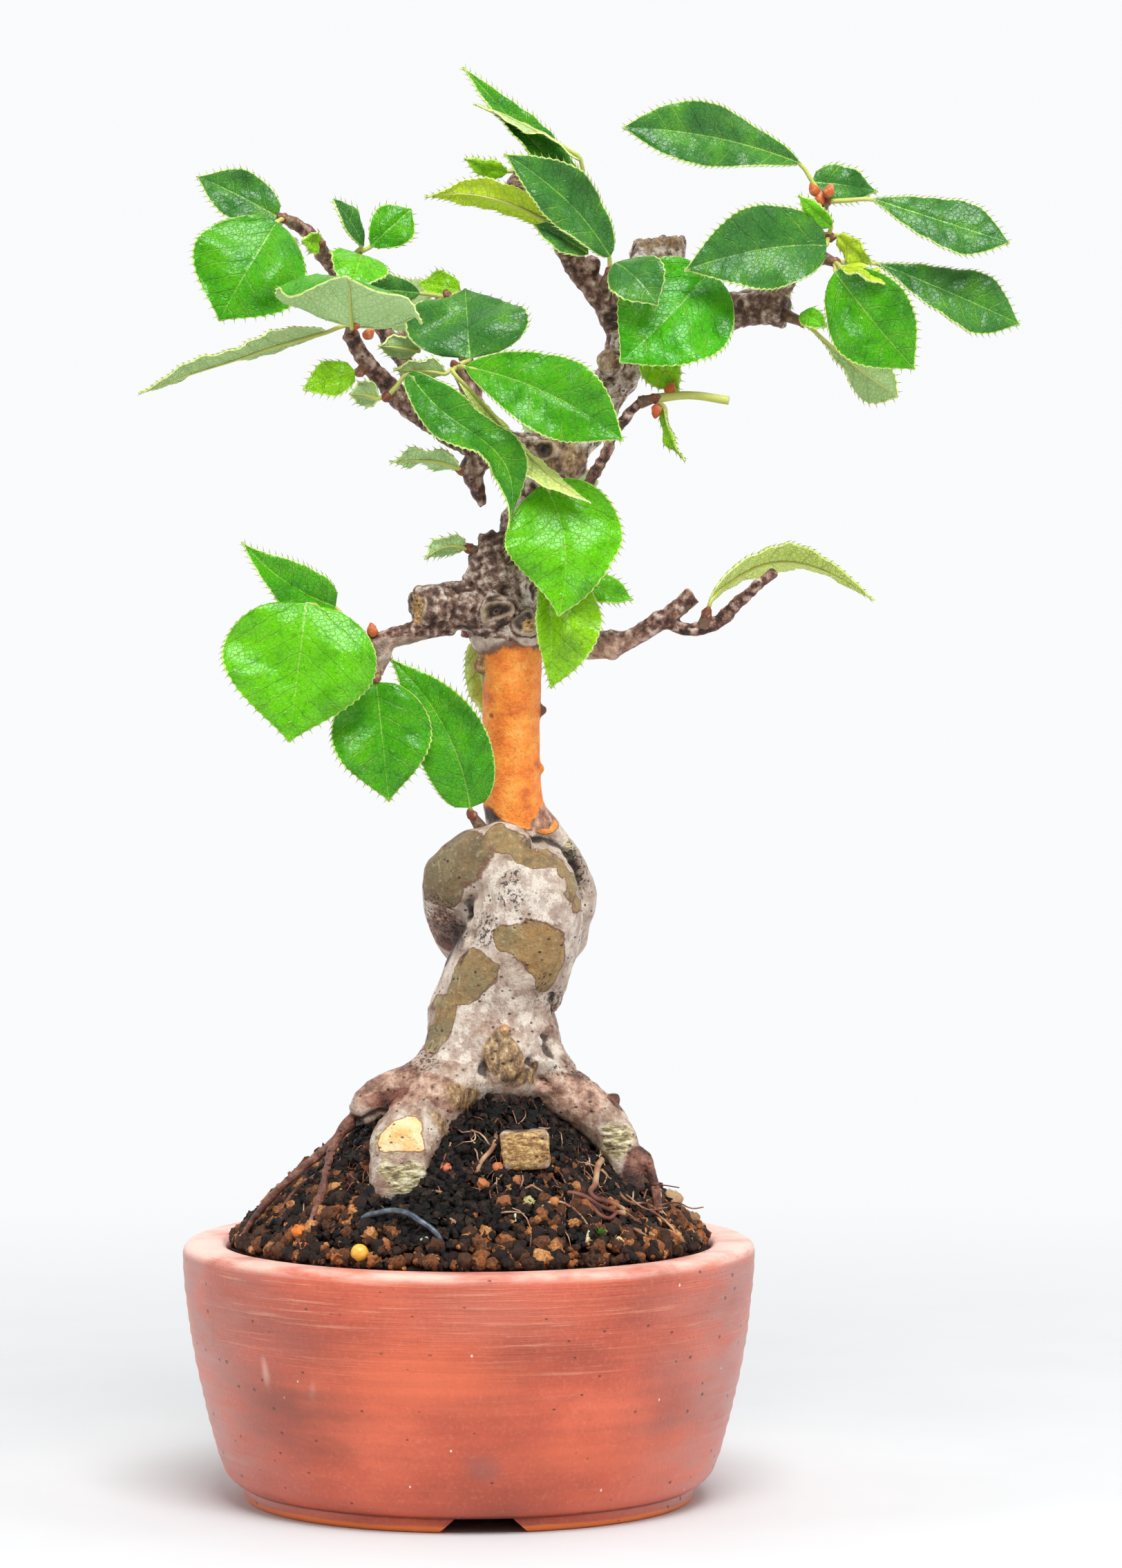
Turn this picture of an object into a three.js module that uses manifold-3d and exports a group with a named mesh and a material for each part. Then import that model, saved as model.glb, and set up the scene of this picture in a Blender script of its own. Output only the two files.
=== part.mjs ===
// A Chinese quince shohin bonsai in a round unglazed pot: pot, soil, coiled trunk and leafy shoots.
// Millimetres, +Z up. The object stands on its pot's foot ring, and its front faces -Y.

import * as THREE from 'three';
import Module from 'manifold-3d';
import { mergeVertices } from 'three/addons/utils/BufferGeometryUtils.js';
import { ConvexGeometry } from 'three/addons/geometries/ConvexGeometry.js';

const wasm = await Module();
wasm.setup();

// Driving dimensions of the pot and what is in it
const POT_HEIGHT = 45;
const POT_RADIUS = 50;
const LIP_INSIDE = 42;
const FOOT_RADIUS = 39;
const FOOT_WIDTH = 5.5;
const FOOT_HEIGHT = 2.5;
const FLOOR_THICKNESS = 4.5;
const DRAIN_RADIUS = 6.5;
const NOTCH_WIDTH = 17.5;
const NOTCH_TOP_WIDTH = 9.8;
const NOTCHES = 3;
const MESH_SIDE = 24;
const MESH_PITCH = 6.5;
const MESH_OPENING = 4.6;
const MESH_THICKNESS = 1;
const WIRE_RADIUS = 0.5;
const PRILL_RADIUS = 1.6;

// The soil is a steep mound from just under the lip up to the root crown
const SOIL_EDGE = 44;
const MOUND_RISE = 27;
const MOUND_POWER = 1.6;
const CROWN_RISE = 6;
const CROWN_SPREAD = 16;
const SOIL_ROUGHNESS = 1.5;

// Leaves and the clearance that touching pieces keep
const LEAF_THICKNESS = 0.7;
const PETIOLE_RADIUS = 0.6;
const BUD_RADIUS = 1.1;
const TURN_BACK = 0.2;
const TOOTH = 0.8;
const TOOTH_PITCH = 5.5;
const MOST_TEETH = 5;
const GAP = 0.3;

// Sides of a round, by how thick it is
const POT_SIDES = 32;
const TRUNK_SIDES = 8;
const ROOT_SIDES = 7;
const TWIG_SIDES = 5;
const SMALL_LUMP = 3;

// The tree was measured on a front view: x to the right and z up, on the plane through the pot's
// axis. A third number says how far the point lies behind that plane. EYE is the point that the
// view is seen from, so a point at any depth covers the same place in the view.
const EYE = new THREE.Vector3(15.9, -1200, 195);

function place([x, z, depth]) {
  return new THREE.Vector3(x, 0, z).sub(EYE).multiplyScalar(1 + depth / -EYE.y).add(EYE);
}

const radians = THREE.MathUtils.degToRad;

// A repeatable rough number between -1 and 1 for a pair of whole numbers
function rough(a, b) {
  const wave = Math.sin(a * 127.1 + b * 311.7) * 43758.5453;
  return 2 * (wave - Math.floor(wave)) - 1;
}

function solidOf(geometry) {
  geometry.deleteAttribute('normal');
  geometry.deleteAttribute('uv');
  const welded = mergeVertices(geometry, 1e-3);
  return new wasm.Manifold(new wasm.Mesh({
    numProp: 3,
    vertProperties: new Float32Array(welded.getAttribute('position').array),
    triVerts: new Uint32Array(welded.index.array),
  }));
}

function join(solids) {
  return solids.reduce((whole, solid) => whole.add(solid));
}

// Drops the loose scraps that a cut leaves
function largestBody(solid) {
  const bodies = solid.decompose();
  return bodies.reduce((best, body) => (body.volume() > best.volume() ? body : best));
}

const bonsai = new THREE.Group();

function addNode(name, solid, finish) {
  const { vertProperties, triVerts } = largestBody(solid).getMesh();
  const geometry = new THREE.BufferGeometry();
  geometry.setAttribute('position', new THREE.BufferAttribute(vertProperties, 3));
  geometry.setIndex(new THREE.BufferAttribute(triVerts, 1));
  geometry.computeVertexNormals();
  const mesh = new THREE.Mesh(geometry, new THREE.MeshStandardMaterial(finish));
  mesh.name = name;
  bonsai.add(mesh);
}

const TERRACOTTA = { color: 0xa4553c, roughness: 0.85, metalness: 0 };
const PEAT = { color: 0x4a3526, roughness: 0.95, metalness: 0 };
const BARK = { color: 0xa59a8a, roughness: 0.8, metalness: 0 };
const LEAF = { color: 0x3f8f2a, roughness: 0.45, metalness: 0 };
const WIRE = { color: 0x5b6470, roughness: 0.5, metalness: 0.8 };
const NETTING = { color: 0x20241f, roughness: 0.6, metalness: 0 };
const FERTILISER = { color: 0xe3a02c, roughness: 0.5, metalness: 0 };

// The rings of a round that follows a path, one at each point. points are Vector3 places and radii
// their radii; grow makes the larger copy that cuts a seat.
function ringsAlong(points, radii, sides, grow) {
  const path = new THREE.CatmullRomCurve3(points, false, 'centripetal');
  const last = points.length - 1;
  let across = new THREE.Vector3(0.31, 0.22, 0.93);
  return points.map((point, index) => {
    const heading = path.getTangent(index / last);
    across = across.clone().addScaledVector(heading, -across.dot(heading)).normalize();
    const other = heading.clone().cross(across);
    const centre = point.clone();
    if (index === 0) centre.addScaledVector(heading, -grow);
    if (index === last) centre.addScaledVector(heading, grow);
    const radius = radii[index] + grow;
    return Array.from({ length: sides }, (_, side) => {
      const angle = (side / sides) * 2 * Math.PI;
      return centre.clone()
        .addScaledVector(across, radius * Math.cos(angle))
        .addScaledVector(other, radius * Math.sin(angle));
    });
  });
}

// A gently curved round is one skin over its rings
function limb(points, radii, sides, grow = 0) {
  const rings = ringsAlong(points, radii, sides, grow);
  const positions = rings.flat().flatMap((corner) => corner.toArray());
  const triangles = [];
  for (let ring = 0; ring + 1 < rings.length; ring++) {
    for (let side = 0; side < sides; side++) {
      const here = ring * sides + side;
      const beside = ring * sides + ((side + 1) % sides);
      triangles.push(here, beside, beside + sides, here, beside + sides, here + sides);
    }
  }
  const end = (rings.length - 1) * sides;
  for (let side = 1; side + 1 < sides; side++) {
    triangles.push(0, side + 1, side, end, end + side, end + side + 1);
  }
  const geometry = new THREE.BufferGeometry();
  geometry.setAttribute('position', new THREE.BufferAttribute(new Float32Array(positions), 3));
  geometry.setIndex(triangles);
  return solidOf(geometry);
}

// A tight bend is a chain of convex lengths, which stays sound where its rings cross
function coil(rows, grow) {
  const rings = ringsAlong(rows.map(place), rows.map((row) => row[3]), TRUNK_SIDES, grow);
  return join(rings.slice(1).map((ring, index) => solidOf(new ConvexGeometry([...rings[index], ...ring]))));
}

// A limb whose rows are [x, z, depth, radius] on the front view
function seenLimb(rows, sides, grow) {
  return limb(rows.map(place), rows.map((row) => row[3]), sides, grow);
}

function lump([x, z, depth, radius], grow) {
  const ball = new THREE.IcosahedronGeometry(radius + grow, radius > SMALL_LUMP ? 1 : 0);
  const centre = place([x, z, depth]);
  return solidOf(ball.translate(centre.x, centre.y, centre.z));
}

// The pot: a turned wall with a broad flat lip, a foot ring with notches and a drainage hole
const FLOOR_TOP = FOOT_HEIGHT + FLOOR_THICKNESS;
const POT_OUTSIDE = [
  [FOOT_RADIUS - FOOT_WIDTH, FOOT_HEIGHT], [FOOT_RADIUS - FOOT_WIDTH, 0], [FOOT_RADIUS - 0.8, 0],
  [FOOT_RADIUS, 0.8], [FOOT_RADIUS, FOOT_HEIGHT], [42.3, 4.6], [44.6, 11], [47.2, 21.8],
  [49.2, 33.5], [POT_RADIUS, 42.6], [49.2, 44.4],
];
const POT_INSIDE = [[42.4, 30], [40, 14], [35, FLOOR_TOP]];

function potNotch(index) {
  const outline = new THREE.Shape([
    new THREE.Vector2(-NOTCH_WIDTH / 2, -1),
    new THREE.Vector2(NOTCH_WIDTH / 2, -1),
    new THREE.Vector2(NOTCH_TOP_WIDTH / 2, FOOT_HEIGHT),
    new THREE.Vector2(-NOTCH_TOP_WIDTH / 2, FOOT_HEIGHT),
  ]);
  const notch = new THREE.ExtrudeGeometry(outline, { depth: 2 * FOOT_WIDTH, bevelEnabled: false });
  const frontNotchTurn = Math.asin(2.9 / FOOT_RADIUS);
  notch.rotateX(Math.PI / 2);
  notch.translate(0, -(FOOT_RADIUS - 1.5 * FOOT_WIDTH), 0);
  notch.rotateZ(frontNotchTurn + (index / NOTCHES) * 2 * Math.PI);
  return solidOf(notch);
}

function pot() {
  const profile = [
    [DRAIN_RADIUS, FOOT_HEIGHT], ...POT_OUTSIDE, [47.8, POT_HEIGHT], [43, POT_HEIGHT],
    [LIP_INSIDE, POT_HEIGHT - 1], ...POT_INSIDE, [DRAIN_RADIUS, FLOOR_TOP],
    [DRAIN_RADIUS, FOOT_HEIGHT],
  ];
  const turned = new THREE.LatheGeometry(profile.map(([r, z]) => new THREE.Vector2(r, z)), POT_SIDES);
  let body = solidOf(turned.rotateX(Math.PI / 2));
  for (let index = 0; index < NOTCHES; index++) body = body.subtract(potNotch(index));
  return body;
}

// The drainage netting over the hole, and the bent clip that holds it
const MESH_BOTTOM = FLOOR_TOP + GAP;
const LEG_OUT = 5.1;
const LEG_SIDE = 1.2;
const UNDER_POT = FOOT_HEIGHT - GAP - WIRE_RADIUS - 0.1;

function box(width, depth, height, [x, y, z]) {
  return solidOf(new THREE.BoxGeometry(width, depth, height).translate(x, y, z));
}

function drainageMesh(grow) {
  const side = MESH_SIDE + 2 * grow;
  const level = MESH_BOTTOM + MESH_THICKNESS / 2;
  const plate = box(side, side, MESH_THICKNESS + 2 * grow, [0, 0, level]);
  if (grow > 0) return plate;
  const steps = [-1, 0, 1].map((step) => step * MESH_PITCH);
  const openings = steps.flatMap((x) => steps.map((y) => (
    box(MESH_OPENING, MESH_OPENING, 3 * MESH_THICKNESS, [x, y, level]))));
  return plate.subtract(join(openings));
}

function wire(points, grow = 0) {
  const spots = points.map(([x, y, z]) => new THREE.Vector3(x, y, z));
  return limb(spots, spots.map(() => WIRE_RADIUS), TWIG_SIDES, grow);
}

// Straight runs keep close pairs of points at their corners
function meshClip(grow) {
  const top = MESH_BOTTOM + MESH_THICKNESS + GAP + WIRE_RADIUS + 0.1;
  const half = [
    [LEG_OUT, LEG_SIDE, top], [LEG_OUT, LEG_SIDE, UNDER_POT + 3], [LEG_OUT + 0.2, LEG_SIDE, UNDER_POT],
    [12, LEG_SIDE, UNDER_POT],
  ];
  const mirrored = half.map(([x, y, z]) => [-x, y, z]).reverse();
  return wire([...mirrored, [0, LEG_SIDE, top], ...half], grow);
}

// The tie-down wire: up through the drainage hole and the soil, over the root, and down again
const TIE_ARC = [[-18.5, 48.4, -29.5], [-15.8, 49.6, -31.5], [-12, 49.9, -33.4], [-8.5, 48.2, -35.5],
  [-5.3, 45.4, -36.6]];

function tieWire(grow) {
  const arc = TIE_ARC.map((row) => place(row).toArray());
  const leg = [[LEG_OUT, 14], [LEG_OUT, UNDER_POT + 3], [LEG_OUT + 0.2, UNDER_POT], [12, UNDER_POT]]
    .map(([x, z]) => [x, -LEG_SIDE, z]);
  const mirrored = leg.map(([x, y, z]) => [-x, y, z]).reverse();
  return wire([
    ...mirrored, [-12, -18, 28], [-18.5, -27.5, 44], ...arc, [-3.5, -33, 43], [0, -14, 24], ...leg,
  ], grow);
}

// The soil: a filled solid from the pot's floor to a rough mound
const SOIL_RADIUS = LIP_INSIDE - GAP - 0.1;
const SOIL_SECTORS = 36;
const SOIL_RINGS = 9;

function moundHeight(radius) {
  const slope = 1 - (radius / LIP_INSIDE) ** MOUND_POWER;
  return SOIL_EDGE + MOUND_RISE * slope + CROWN_RISE * Math.exp(-((radius / CROWN_SPREAD) ** 2));
}

// A full disc of rings is lowered onto the mound outside, and closed by a skirt and a floor inside
function soilMound() {
  const skirt = [[SOIL_RADIUS, 43], [41.9, 30], [39.5, 14.3], [34.6, FLOOR_TOP + GAP]];
  const profile = [new THREE.Vector2(0, moundHeight(0))];
  for (let ring = 1; ring <= SOIL_RINGS; ring++) {
    const radius = (ring / SOIL_RINGS) * SOIL_RADIUS;
    profile.push(new THREE.Vector2(radius, moundHeight(radius)));
  }
  for (const [radius, z] of skirt) profile.push(new THREE.Vector2(radius, z));
  profile.push(new THREE.Vector2(0, FLOOR_TOP + GAP));
  const turned = new THREE.LatheGeometry(profile, SOIL_SECTORS);
  turned.scale(1, 1, -1);
  turned.rotateX(Math.PI / 2);
  const spots = turned.getAttribute('position');
  for (let i = 0; i < spots.count; i++) {
    const radius = Math.hypot(spots.getX(i), spots.getY(i));
    if (spots.getZ(i) < SOIL_EDGE || radius > SOIL_RADIUS - 1 || radius < 1) continue;
    const turn = Math.atan2(spots.getY(i), spots.getX(i)) / (2 * Math.PI);
    const sector = (Math.round(turn * SOIL_SECTORS) + SOIL_SECTORS) % SOIL_SECTORS;
    const ring = Math.round((radius / SOIL_RADIUS) * SOIL_RINGS);
    spots.setZ(i, spots.getZ(i) + SOIL_ROUGHNESS * rough(ring, sector));
  }
  return solidOf(turned);
}

const PRILL_SEAT = [-19, 42.6, -36];

function prill(grow) {
  const centre = place(PRILL_SEAT);
  return solidOf(new THREE.IcosahedronGeometry(PRILL_RADIUS + grow, 1).translate(centre.x, centre.y, centre.z));
}

// The coiled trunk, from the root crown up: rows are [x, z, depth, radius]
const COLUMN = [
  [4.6, 70, 3, 8], [4.4, 74, 1, 12.2], [4.2, 79, 0, 12.2], [4.4, 86.5, -0.5, 10.7],
  [8.2, 94.5, -2, 10.4], [10.6, 101.5, -4, 9.3], [9.8, 107.5, -3, 8.6], [8.6, 111.4, -2, 6],
];
const COIL = [
  [9.5, 108.5, -2, 7.6], [4, 110, -0.5, 7.6], [-0.4, 107.5, 3, 7.4], [-0.6, 102.5, 8, 7],
  [1.4, 97.5, 12.5, 6.6], [7, 95, 15.5, 6.6], [13.2, 97.5, 15, 6.4], [15.8, 102.5, 12.5, 6.1],
  [14.8, 108.5, 10, 6.3], [10.5, 114, 7, 6.3], [7.7, 119.5, 5, 5.7], [7.4, 125, 4, 5.2],
  [7.3, 136, 3.2, 5.1], [7.2, 146.5, 2.5, 5.5], [6, 151.5, 2, 6.7], [5.8, 156, 2, 6.4],
  [7.4, 161, 2.5, 5],
];
const UPPER_TRUNK = [
  [7.2, 159, 2.5, 5.2], [9.5, 167, 3, 4.3], [12.6, 174, 4, 4.4], [15.6, 180.5, 5, 4.9],
  [19.8, 187, 5.5, 4], [24.2, 192.2, 5.5, 3.4], [27, 197, 5, 3.4], [27.6, 203, 5, 3.6],
  [31, 210, 6.5, 4.1], [32.6, 215, 7, 4.7], [32.8, 218.2, 7, 4.4], [32.8, 220.4, 7, 2.4],
];

// Roots and branches: each has its number of sides, then its rows
const LIMBS = {
  root_left: [ROOT_SIDES, [[2.5, 79, -2, 8], [-2.6, 75.4, -5, 6], [-8, 72.8, -9, 4.2], [-13, 71.2, -11, 3.5],
    [-17, 69, -12, 3.1], [-19.4, 66.4, -12.5, 2.2]]],
  root_front_left: [ROOT_SIDES, [[2, 78, -3, 8], [-3.4, 71.6, -8, 7], [-8.2, 66, -14, 6.2],
    [-11.4, 60.5, -19.5, 5.9], [-12, 55, -22, 5.4], [-12, 49, -23.5, 4.2]]],
  root_cut_front: [ROOT_SIDES, [[9.2, 63, -10, 3.8], [9.7, 60.9, -25, 4]]],
  root_right: [ROOT_SIDES, [[7, 81, -1, 8.2], [11, 76, -2, 6.4], [15.4, 71.8, -4, 5], [20, 68.2, -6, 4.4],
    [23.8, 64.4, -7.5, 4], [26.6, 59.6, -9, 3.4], [28, 53, -10, 2.4]]],
  root_back_left: [ROOT_SIDES, [[3, 79, 3, 8], [0, 73, 7, 6.4], [-5, 69, 13, 5], [-9, 61, 21, 4],
    [-11, 50, 26, 2.8]]],
  root_back_right: [ROOT_SIDES, [[6, 79, 3, 8], [9, 73.4, 6.6, 6.4], [13.5, 67.5, 12, 4.8],
    [18, 58, 20, 3.6], [19.5, 48, 24, 2.6]]],
  root_thin_left: [TWIG_SIDES, [[-19, 67, -12, 1.4], [-23, 62.4, -14, 0.9], [-24.2, 59.3, -16.5, 0.9],
    [-25.4, 53.6, -20, 0.8], [-27.6, 47.6, -23, 0.7]]],
  root_long_left: [TWIG_SIDES, [[-22.6, 62.6, -13.5, 1], [-27, 59, -13, 0.9], [-31, 55.6, -12.5, 0.9],
    [-36, 50.4, -12, 0.8], [-40, 44.4, -11, 0.6]]],
  root_thin_right: [TWIG_SIDES, [[26.5, 61, -9, 1.2], [30, 60, -9.5, 0.9], [31.6, 56.6, -11, 0.8],
    [32.8, 50, -12.5, 0.7]]],
  stub_jagged: [TRUNK_SIDES, [[4.4, 157, 0.5, 5.4], [4.6, 164, 0, 4.4], [3.4, 168.2, 0.5, 1.8]]],
  stub_cut_left: [TRUNK_SIDES, [[2, 154.4, 0, 4.4], [-4.4, 154.9, -2.5, 3.7], [-8.8, 154.4, -4.5, 3.5]]],
  branch_low_left: [6, [[-3, 152.4, -2, 2.6], [-8, 151, -3, 2], [-13, 149.4, -4, 1.8], [-17.6, 148.6, -4.5, 1.3]]],
  stub_down_left: [6, [[-14.6, 148.8, -4.4, 1.9], [-15.4, 145.4, -5.4, 1.8], [-16, 143.2, -6, 1.2]]],
  branch_low_right: [6, [[8, 151.5, 3, 4], [16, 148.6, 3, 2.6], [24.6, 148.4, 2, 2.6], [27, 148.9, 1.8, 1.8],
    [31, 151, 1.4, 1.6], [35.4, 154, 0.6, 1.5], [38.7, 156.8, 0, 1.6]]],
  twig_low_right: [TWIG_SIDES, [[33.6, 152.2, 1, 1.2], [38, 150.9, 0.4, 1.2], [42.4, 151.8, 0, 1.1],
    [46, 155, -1, 1], [49, 157.8, -1.6, 0.9], [52.8, 160.8, -2, 0.9]]],
  branch_left: [6, [[15, 181, 4, 3.8], [7.5, 181.6, 3, 3.2], [0, 183.6, 0, 2.6], [-5, 186.2, -2.5, 2.2],
    [-10.5, 189.6, -5, 2], [-14.4, 193.4, -6, 1.6], [-18, 197.6, -6.6, 1.4], [-20.5, 202, -7, 1.4]]],
  stub_hanging: [6, [[2, 181.4, 2, 2.6], [0.8, 177.6, 1.6, 2], [2.6, 172.2, 1.4, 0.7]]],
  branch_far_left: [TWIG_SIDES, [[-5, 186.2, -2, 1.7], [-9, 193, 4, 1.5], [-14, 201.5, 9, 1.4],
    [-20.5, 209, 10.5, 1.3], [-24.4, 214.6, 9.6, 1.2], [-27, 218.6, 7.6, 1.2], [-30.6, 221.2, 6, 1.1]]],
  stub_far_left: [TWIG_SIDES, [[-13, 200, 8, 1.4], [-11, 201, 4, 1.5]]],
  twig_middle: [TWIG_SIDES, [[4, 182.6, 1.5, 1.8], [1.4, 189, -1.6, 1.4], [-1.4, 194.6, -3, 1.2]]],
  twig_behind: [TWIG_SIDES, [[1.4, 189, -1.6, 1.3], [-0.6, 198, 6, 1.2], [-3, 206.4, 9.6, 1.1]]],
  twig_red: [TWIG_SIDES, [[12.6, 172, 3, 1.4], [19.2, 174.6, 1.4, 1], [22.4, 179, 0, 0.9],
    [27.4, 188, -1, 0.9], [30.6, 190.6, -1.6, 1]]],
  branch_apex: [6, [[26.5, 203, 5, 2.8], [22.6, 208.4, 4, 2.2], [18.8, 213, 2.6, 1.9], [15.4, 219, 2, 1.8],
    [12, 224.6, 1, 2], [7.4, 228.4, 0, 2]]],
  stub_apex: [TWIG_SIDES, [[20.4, 211, 3, 1.5], [21.4, 214.6, 1, 1.3]]],
  branch_right: [6, [[29, 205, 5, 3.4], [40, 204.6, 8, 3], [49.6, 206.4, 6.4, 3.1], [54.6, 205.6, 5, 2.9]]],
  branch_far_right: [6, [[51, 206.6, 6, 2.6], [54.6, 211.6, 4.6, 2], [57.2, 217.6, 3.4, 1.7],
    [61, 222.8, 2, 1.4]]],
  twig_far_right: [TWIG_SIDES, [[58, 219, 3, 1.2], [53.2, 221.2, 3.6, 0.9]]],
  spur_far_right: [TWIG_SIDES, [[57, 216, 3.6, 1.3], [61.6, 214.6, 1, 1.1]]],
};

// Knots, burrs and the lump at the foot of the column
const LUMPS = [
  [6, 77, -8.4, 4.6], [1.6, 144.6, 1, 1.8], [13.2, 136.9, 3.4, 1.3], [13, 126.8, 3.8, 1.2],
  [4.8, 154.6, -3.4, 3.2], [10, 151.2, -2.6, 3.4], [24.6, 146.9, 0.6, 1.5],
  [22.8, 198.4, 3, 2.4],
];

function wood(grow) {
  const rounds = [COLUMN, COIL, UPPER_TRUNK].map((rows) => coil(rows, grow));
  const limbs = Object.values(LIMBS).map(([sides, rows]) => seenLimb(rows, sides, grow));
  const lumps = LUMPS.map((row) => lump(row, grow));
  return largestBody(join([...rounds, ...limbs, ...lumps]));
}

// A leaf is a folded, curved blade with toothed margins, drawn from base to tip on the front view.
// turn rolls it about its length (0 shows its upper face, 180 its underside), fold closes it along
// the midrib, arch and bend curve it out of and in its plane, curl makes it S-shaped, twist rolls
// its tip against its base, and wave lifts and drops its margins in millimetres.
const PLAIN_LEAF = { turn: 0, fold: 12, arch: 0.06, bend: 0, curl: 0, twist: 0, wave: 0.4, widest: 0.42 };

function leafFrame(leaf) {
  const base = place(leaf.base);
  const along = place(leaf.tip).sub(base);
  const length = along.length();
  along.normalize();
  const facing = EYE.clone().sub(base).normalize();
  facing.addScaledVector(along, -facing.dot(along)).normalize();
  facing.applyAxisAngle(along, radians(leaf.turn));
  return { base, along, facing, side: along.clone().cross(facing), length };
}

function midrib(frame, leaf, u) {
  const hump = 4 * u * (1 - u);
  return frame.base.clone()
    .addScaledVector(frame.along, u * frame.length)
    .addScaledVector(frame.facing, frame.length * (leaf.arch * hump + leaf.curl * Math.sin(2 * Math.PI * u)))
    .addScaledVector(frame.side, frame.length * leaf.bend * hump);
}

function halfWidth(leaf, u) {
  const peak = Math.log(0.5) / Math.log(leaf.widest);
  const swell = Math.sin(Math.PI * Math.min(Math.max(u, 0), 1) ** peak);
  const sharpness = THREE.MathUtils.lerp(0.55, 1.1, u);
  return Math.max((leaf.width / 2) * Math.max(swell, 0) ** sharpness, PETIOLE_RADIUS);
}

// One cross row of the blade: left margin, midrib and right margin, with the face's normal
function bladeRow(frame, leaf, row, rows) {
  const u = row / rows;
  const roll = radians(leaf.twist) * (u - 0.5);
  const step = 0.01;
  const heading = midrib(frame, leaf, u + step).sub(midrib(frame, leaf, u - step)).normalize();
  const side = frame.side.clone().applyAxisAngle(frame.along, roll);
  const face = side.clone().cross(heading).normalize();
  side.copy(heading).cross(face);
  const pointed = row % 2 === 1 ? TOOTH * Math.sin(Math.PI * u) : 0;
  const half = halfWidth(leaf, u);
  const centre = midrib(frame, leaf, u);
  const margins = [-1, 1].map((hand) => {
    const ripple = leaf.wave * Math.sin(4 * Math.PI * u + hand) * Math.sin(Math.PI * u);
    return centre.clone()
      .addScaledVector(side, hand * (half + pointed) * Math.cos(radians(leaf.fold)))
      .addScaledVector(face, half * Math.sin(radians(leaf.fold)) + ripple)
      .addScaledVector(heading, pointed);
  });
  return { line: [margins[0], centre, margins[1]], face, thickness: LEAF_THICKNESS / Math.cos(radians(leaf.fold)) };
}

// A stalk row has the same three columns, drawn together into a square stalk
function stalkRow(centre, side, face) {
  const line = [-1, 0, 1].map((hand) => centre.clone().addScaledVector(side, hand * PETIOLE_RADIUS));
  return { line, face, thickness: 2 * PETIOLE_RADIUS };
}

// Both faces are split into triangles alike, so that a waved blade never crosses itself. A stalk
// that turns back on its blade is a round of its own.
function leafSolid(row, heart) {
  const leaf = { ...PLAIN_LEAF, ...row };
  const frame = leafFrame(leaf);
  const teeth = THREE.MathUtils.clamp(Math.round(frame.length / TOOTH_PITCH), 2, MOST_TEETH);
  const rows = 2 * teeth;
  const turnsBack = frame.base.clone().sub(heart).normalize().dot(frame.along) < TURN_BACK;
  const lines = turnsBack ? [] : [stalkRow(heart, frame.side, frame.facing)];
  for (let index = 0; index <= rows; index++) lines.push(bladeRow(frame, leaf, index, rows));

  const positions = [];
  for (const sign of [0.5, -0.5]) {
    for (const { line, face, thickness } of lines) {
      for (const point of line) {
        positions.push(...point.clone().addScaledVector(face, sign * thickness).toArray());
      }
    }
  }
  const under = 3 * lines.length;
  const triangles = [];
  const quad = (a, b, c, d) => triangles.push(a, b, c, a, c, d);
  for (let index = 0; index + 1 < lines.length; index++) {
    const here = 3 * index;
    const next = here + 3;
    for (const column of [0, 1]) {
      quad(here + column, here + column + 1, next + column + 1, next + column);
      triangles.push(
        under + here + column, under + next + column + 1, under + here + column + 1,
        under + here + column, under + next + column, under + next + column + 1,
      );
    }
    quad(here, next, under + next, under + here);
    quad(here + 2, under + here + 2, under + next + 2, next + 2);
  }
  const last = 3 * (lines.length - 1);
  for (const column of [0, 1]) {
    quad(column, under + column, under + column + 1, column + 1);
    quad(last + column, last + column + 1, under + last + column + 1, under + last + column);
  }
  const geometry = new THREE.BufferGeometry();
  geometry.setAttribute('position', new THREE.BufferAttribute(new Float32Array(positions), 3));
  geometry.setIndex(triangles);
  const blade = solidOf(geometry);
  if (!turnsBack) return blade;
  const inBlade = frame.base.clone().addScaledVector(frame.along, PETIOLE_RADIUS);
  return blade.add(limb([heart, inBlade], [PETIOLE_RADIUS, PETIOLE_RADIUS], TWIG_SIDES));
}

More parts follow.
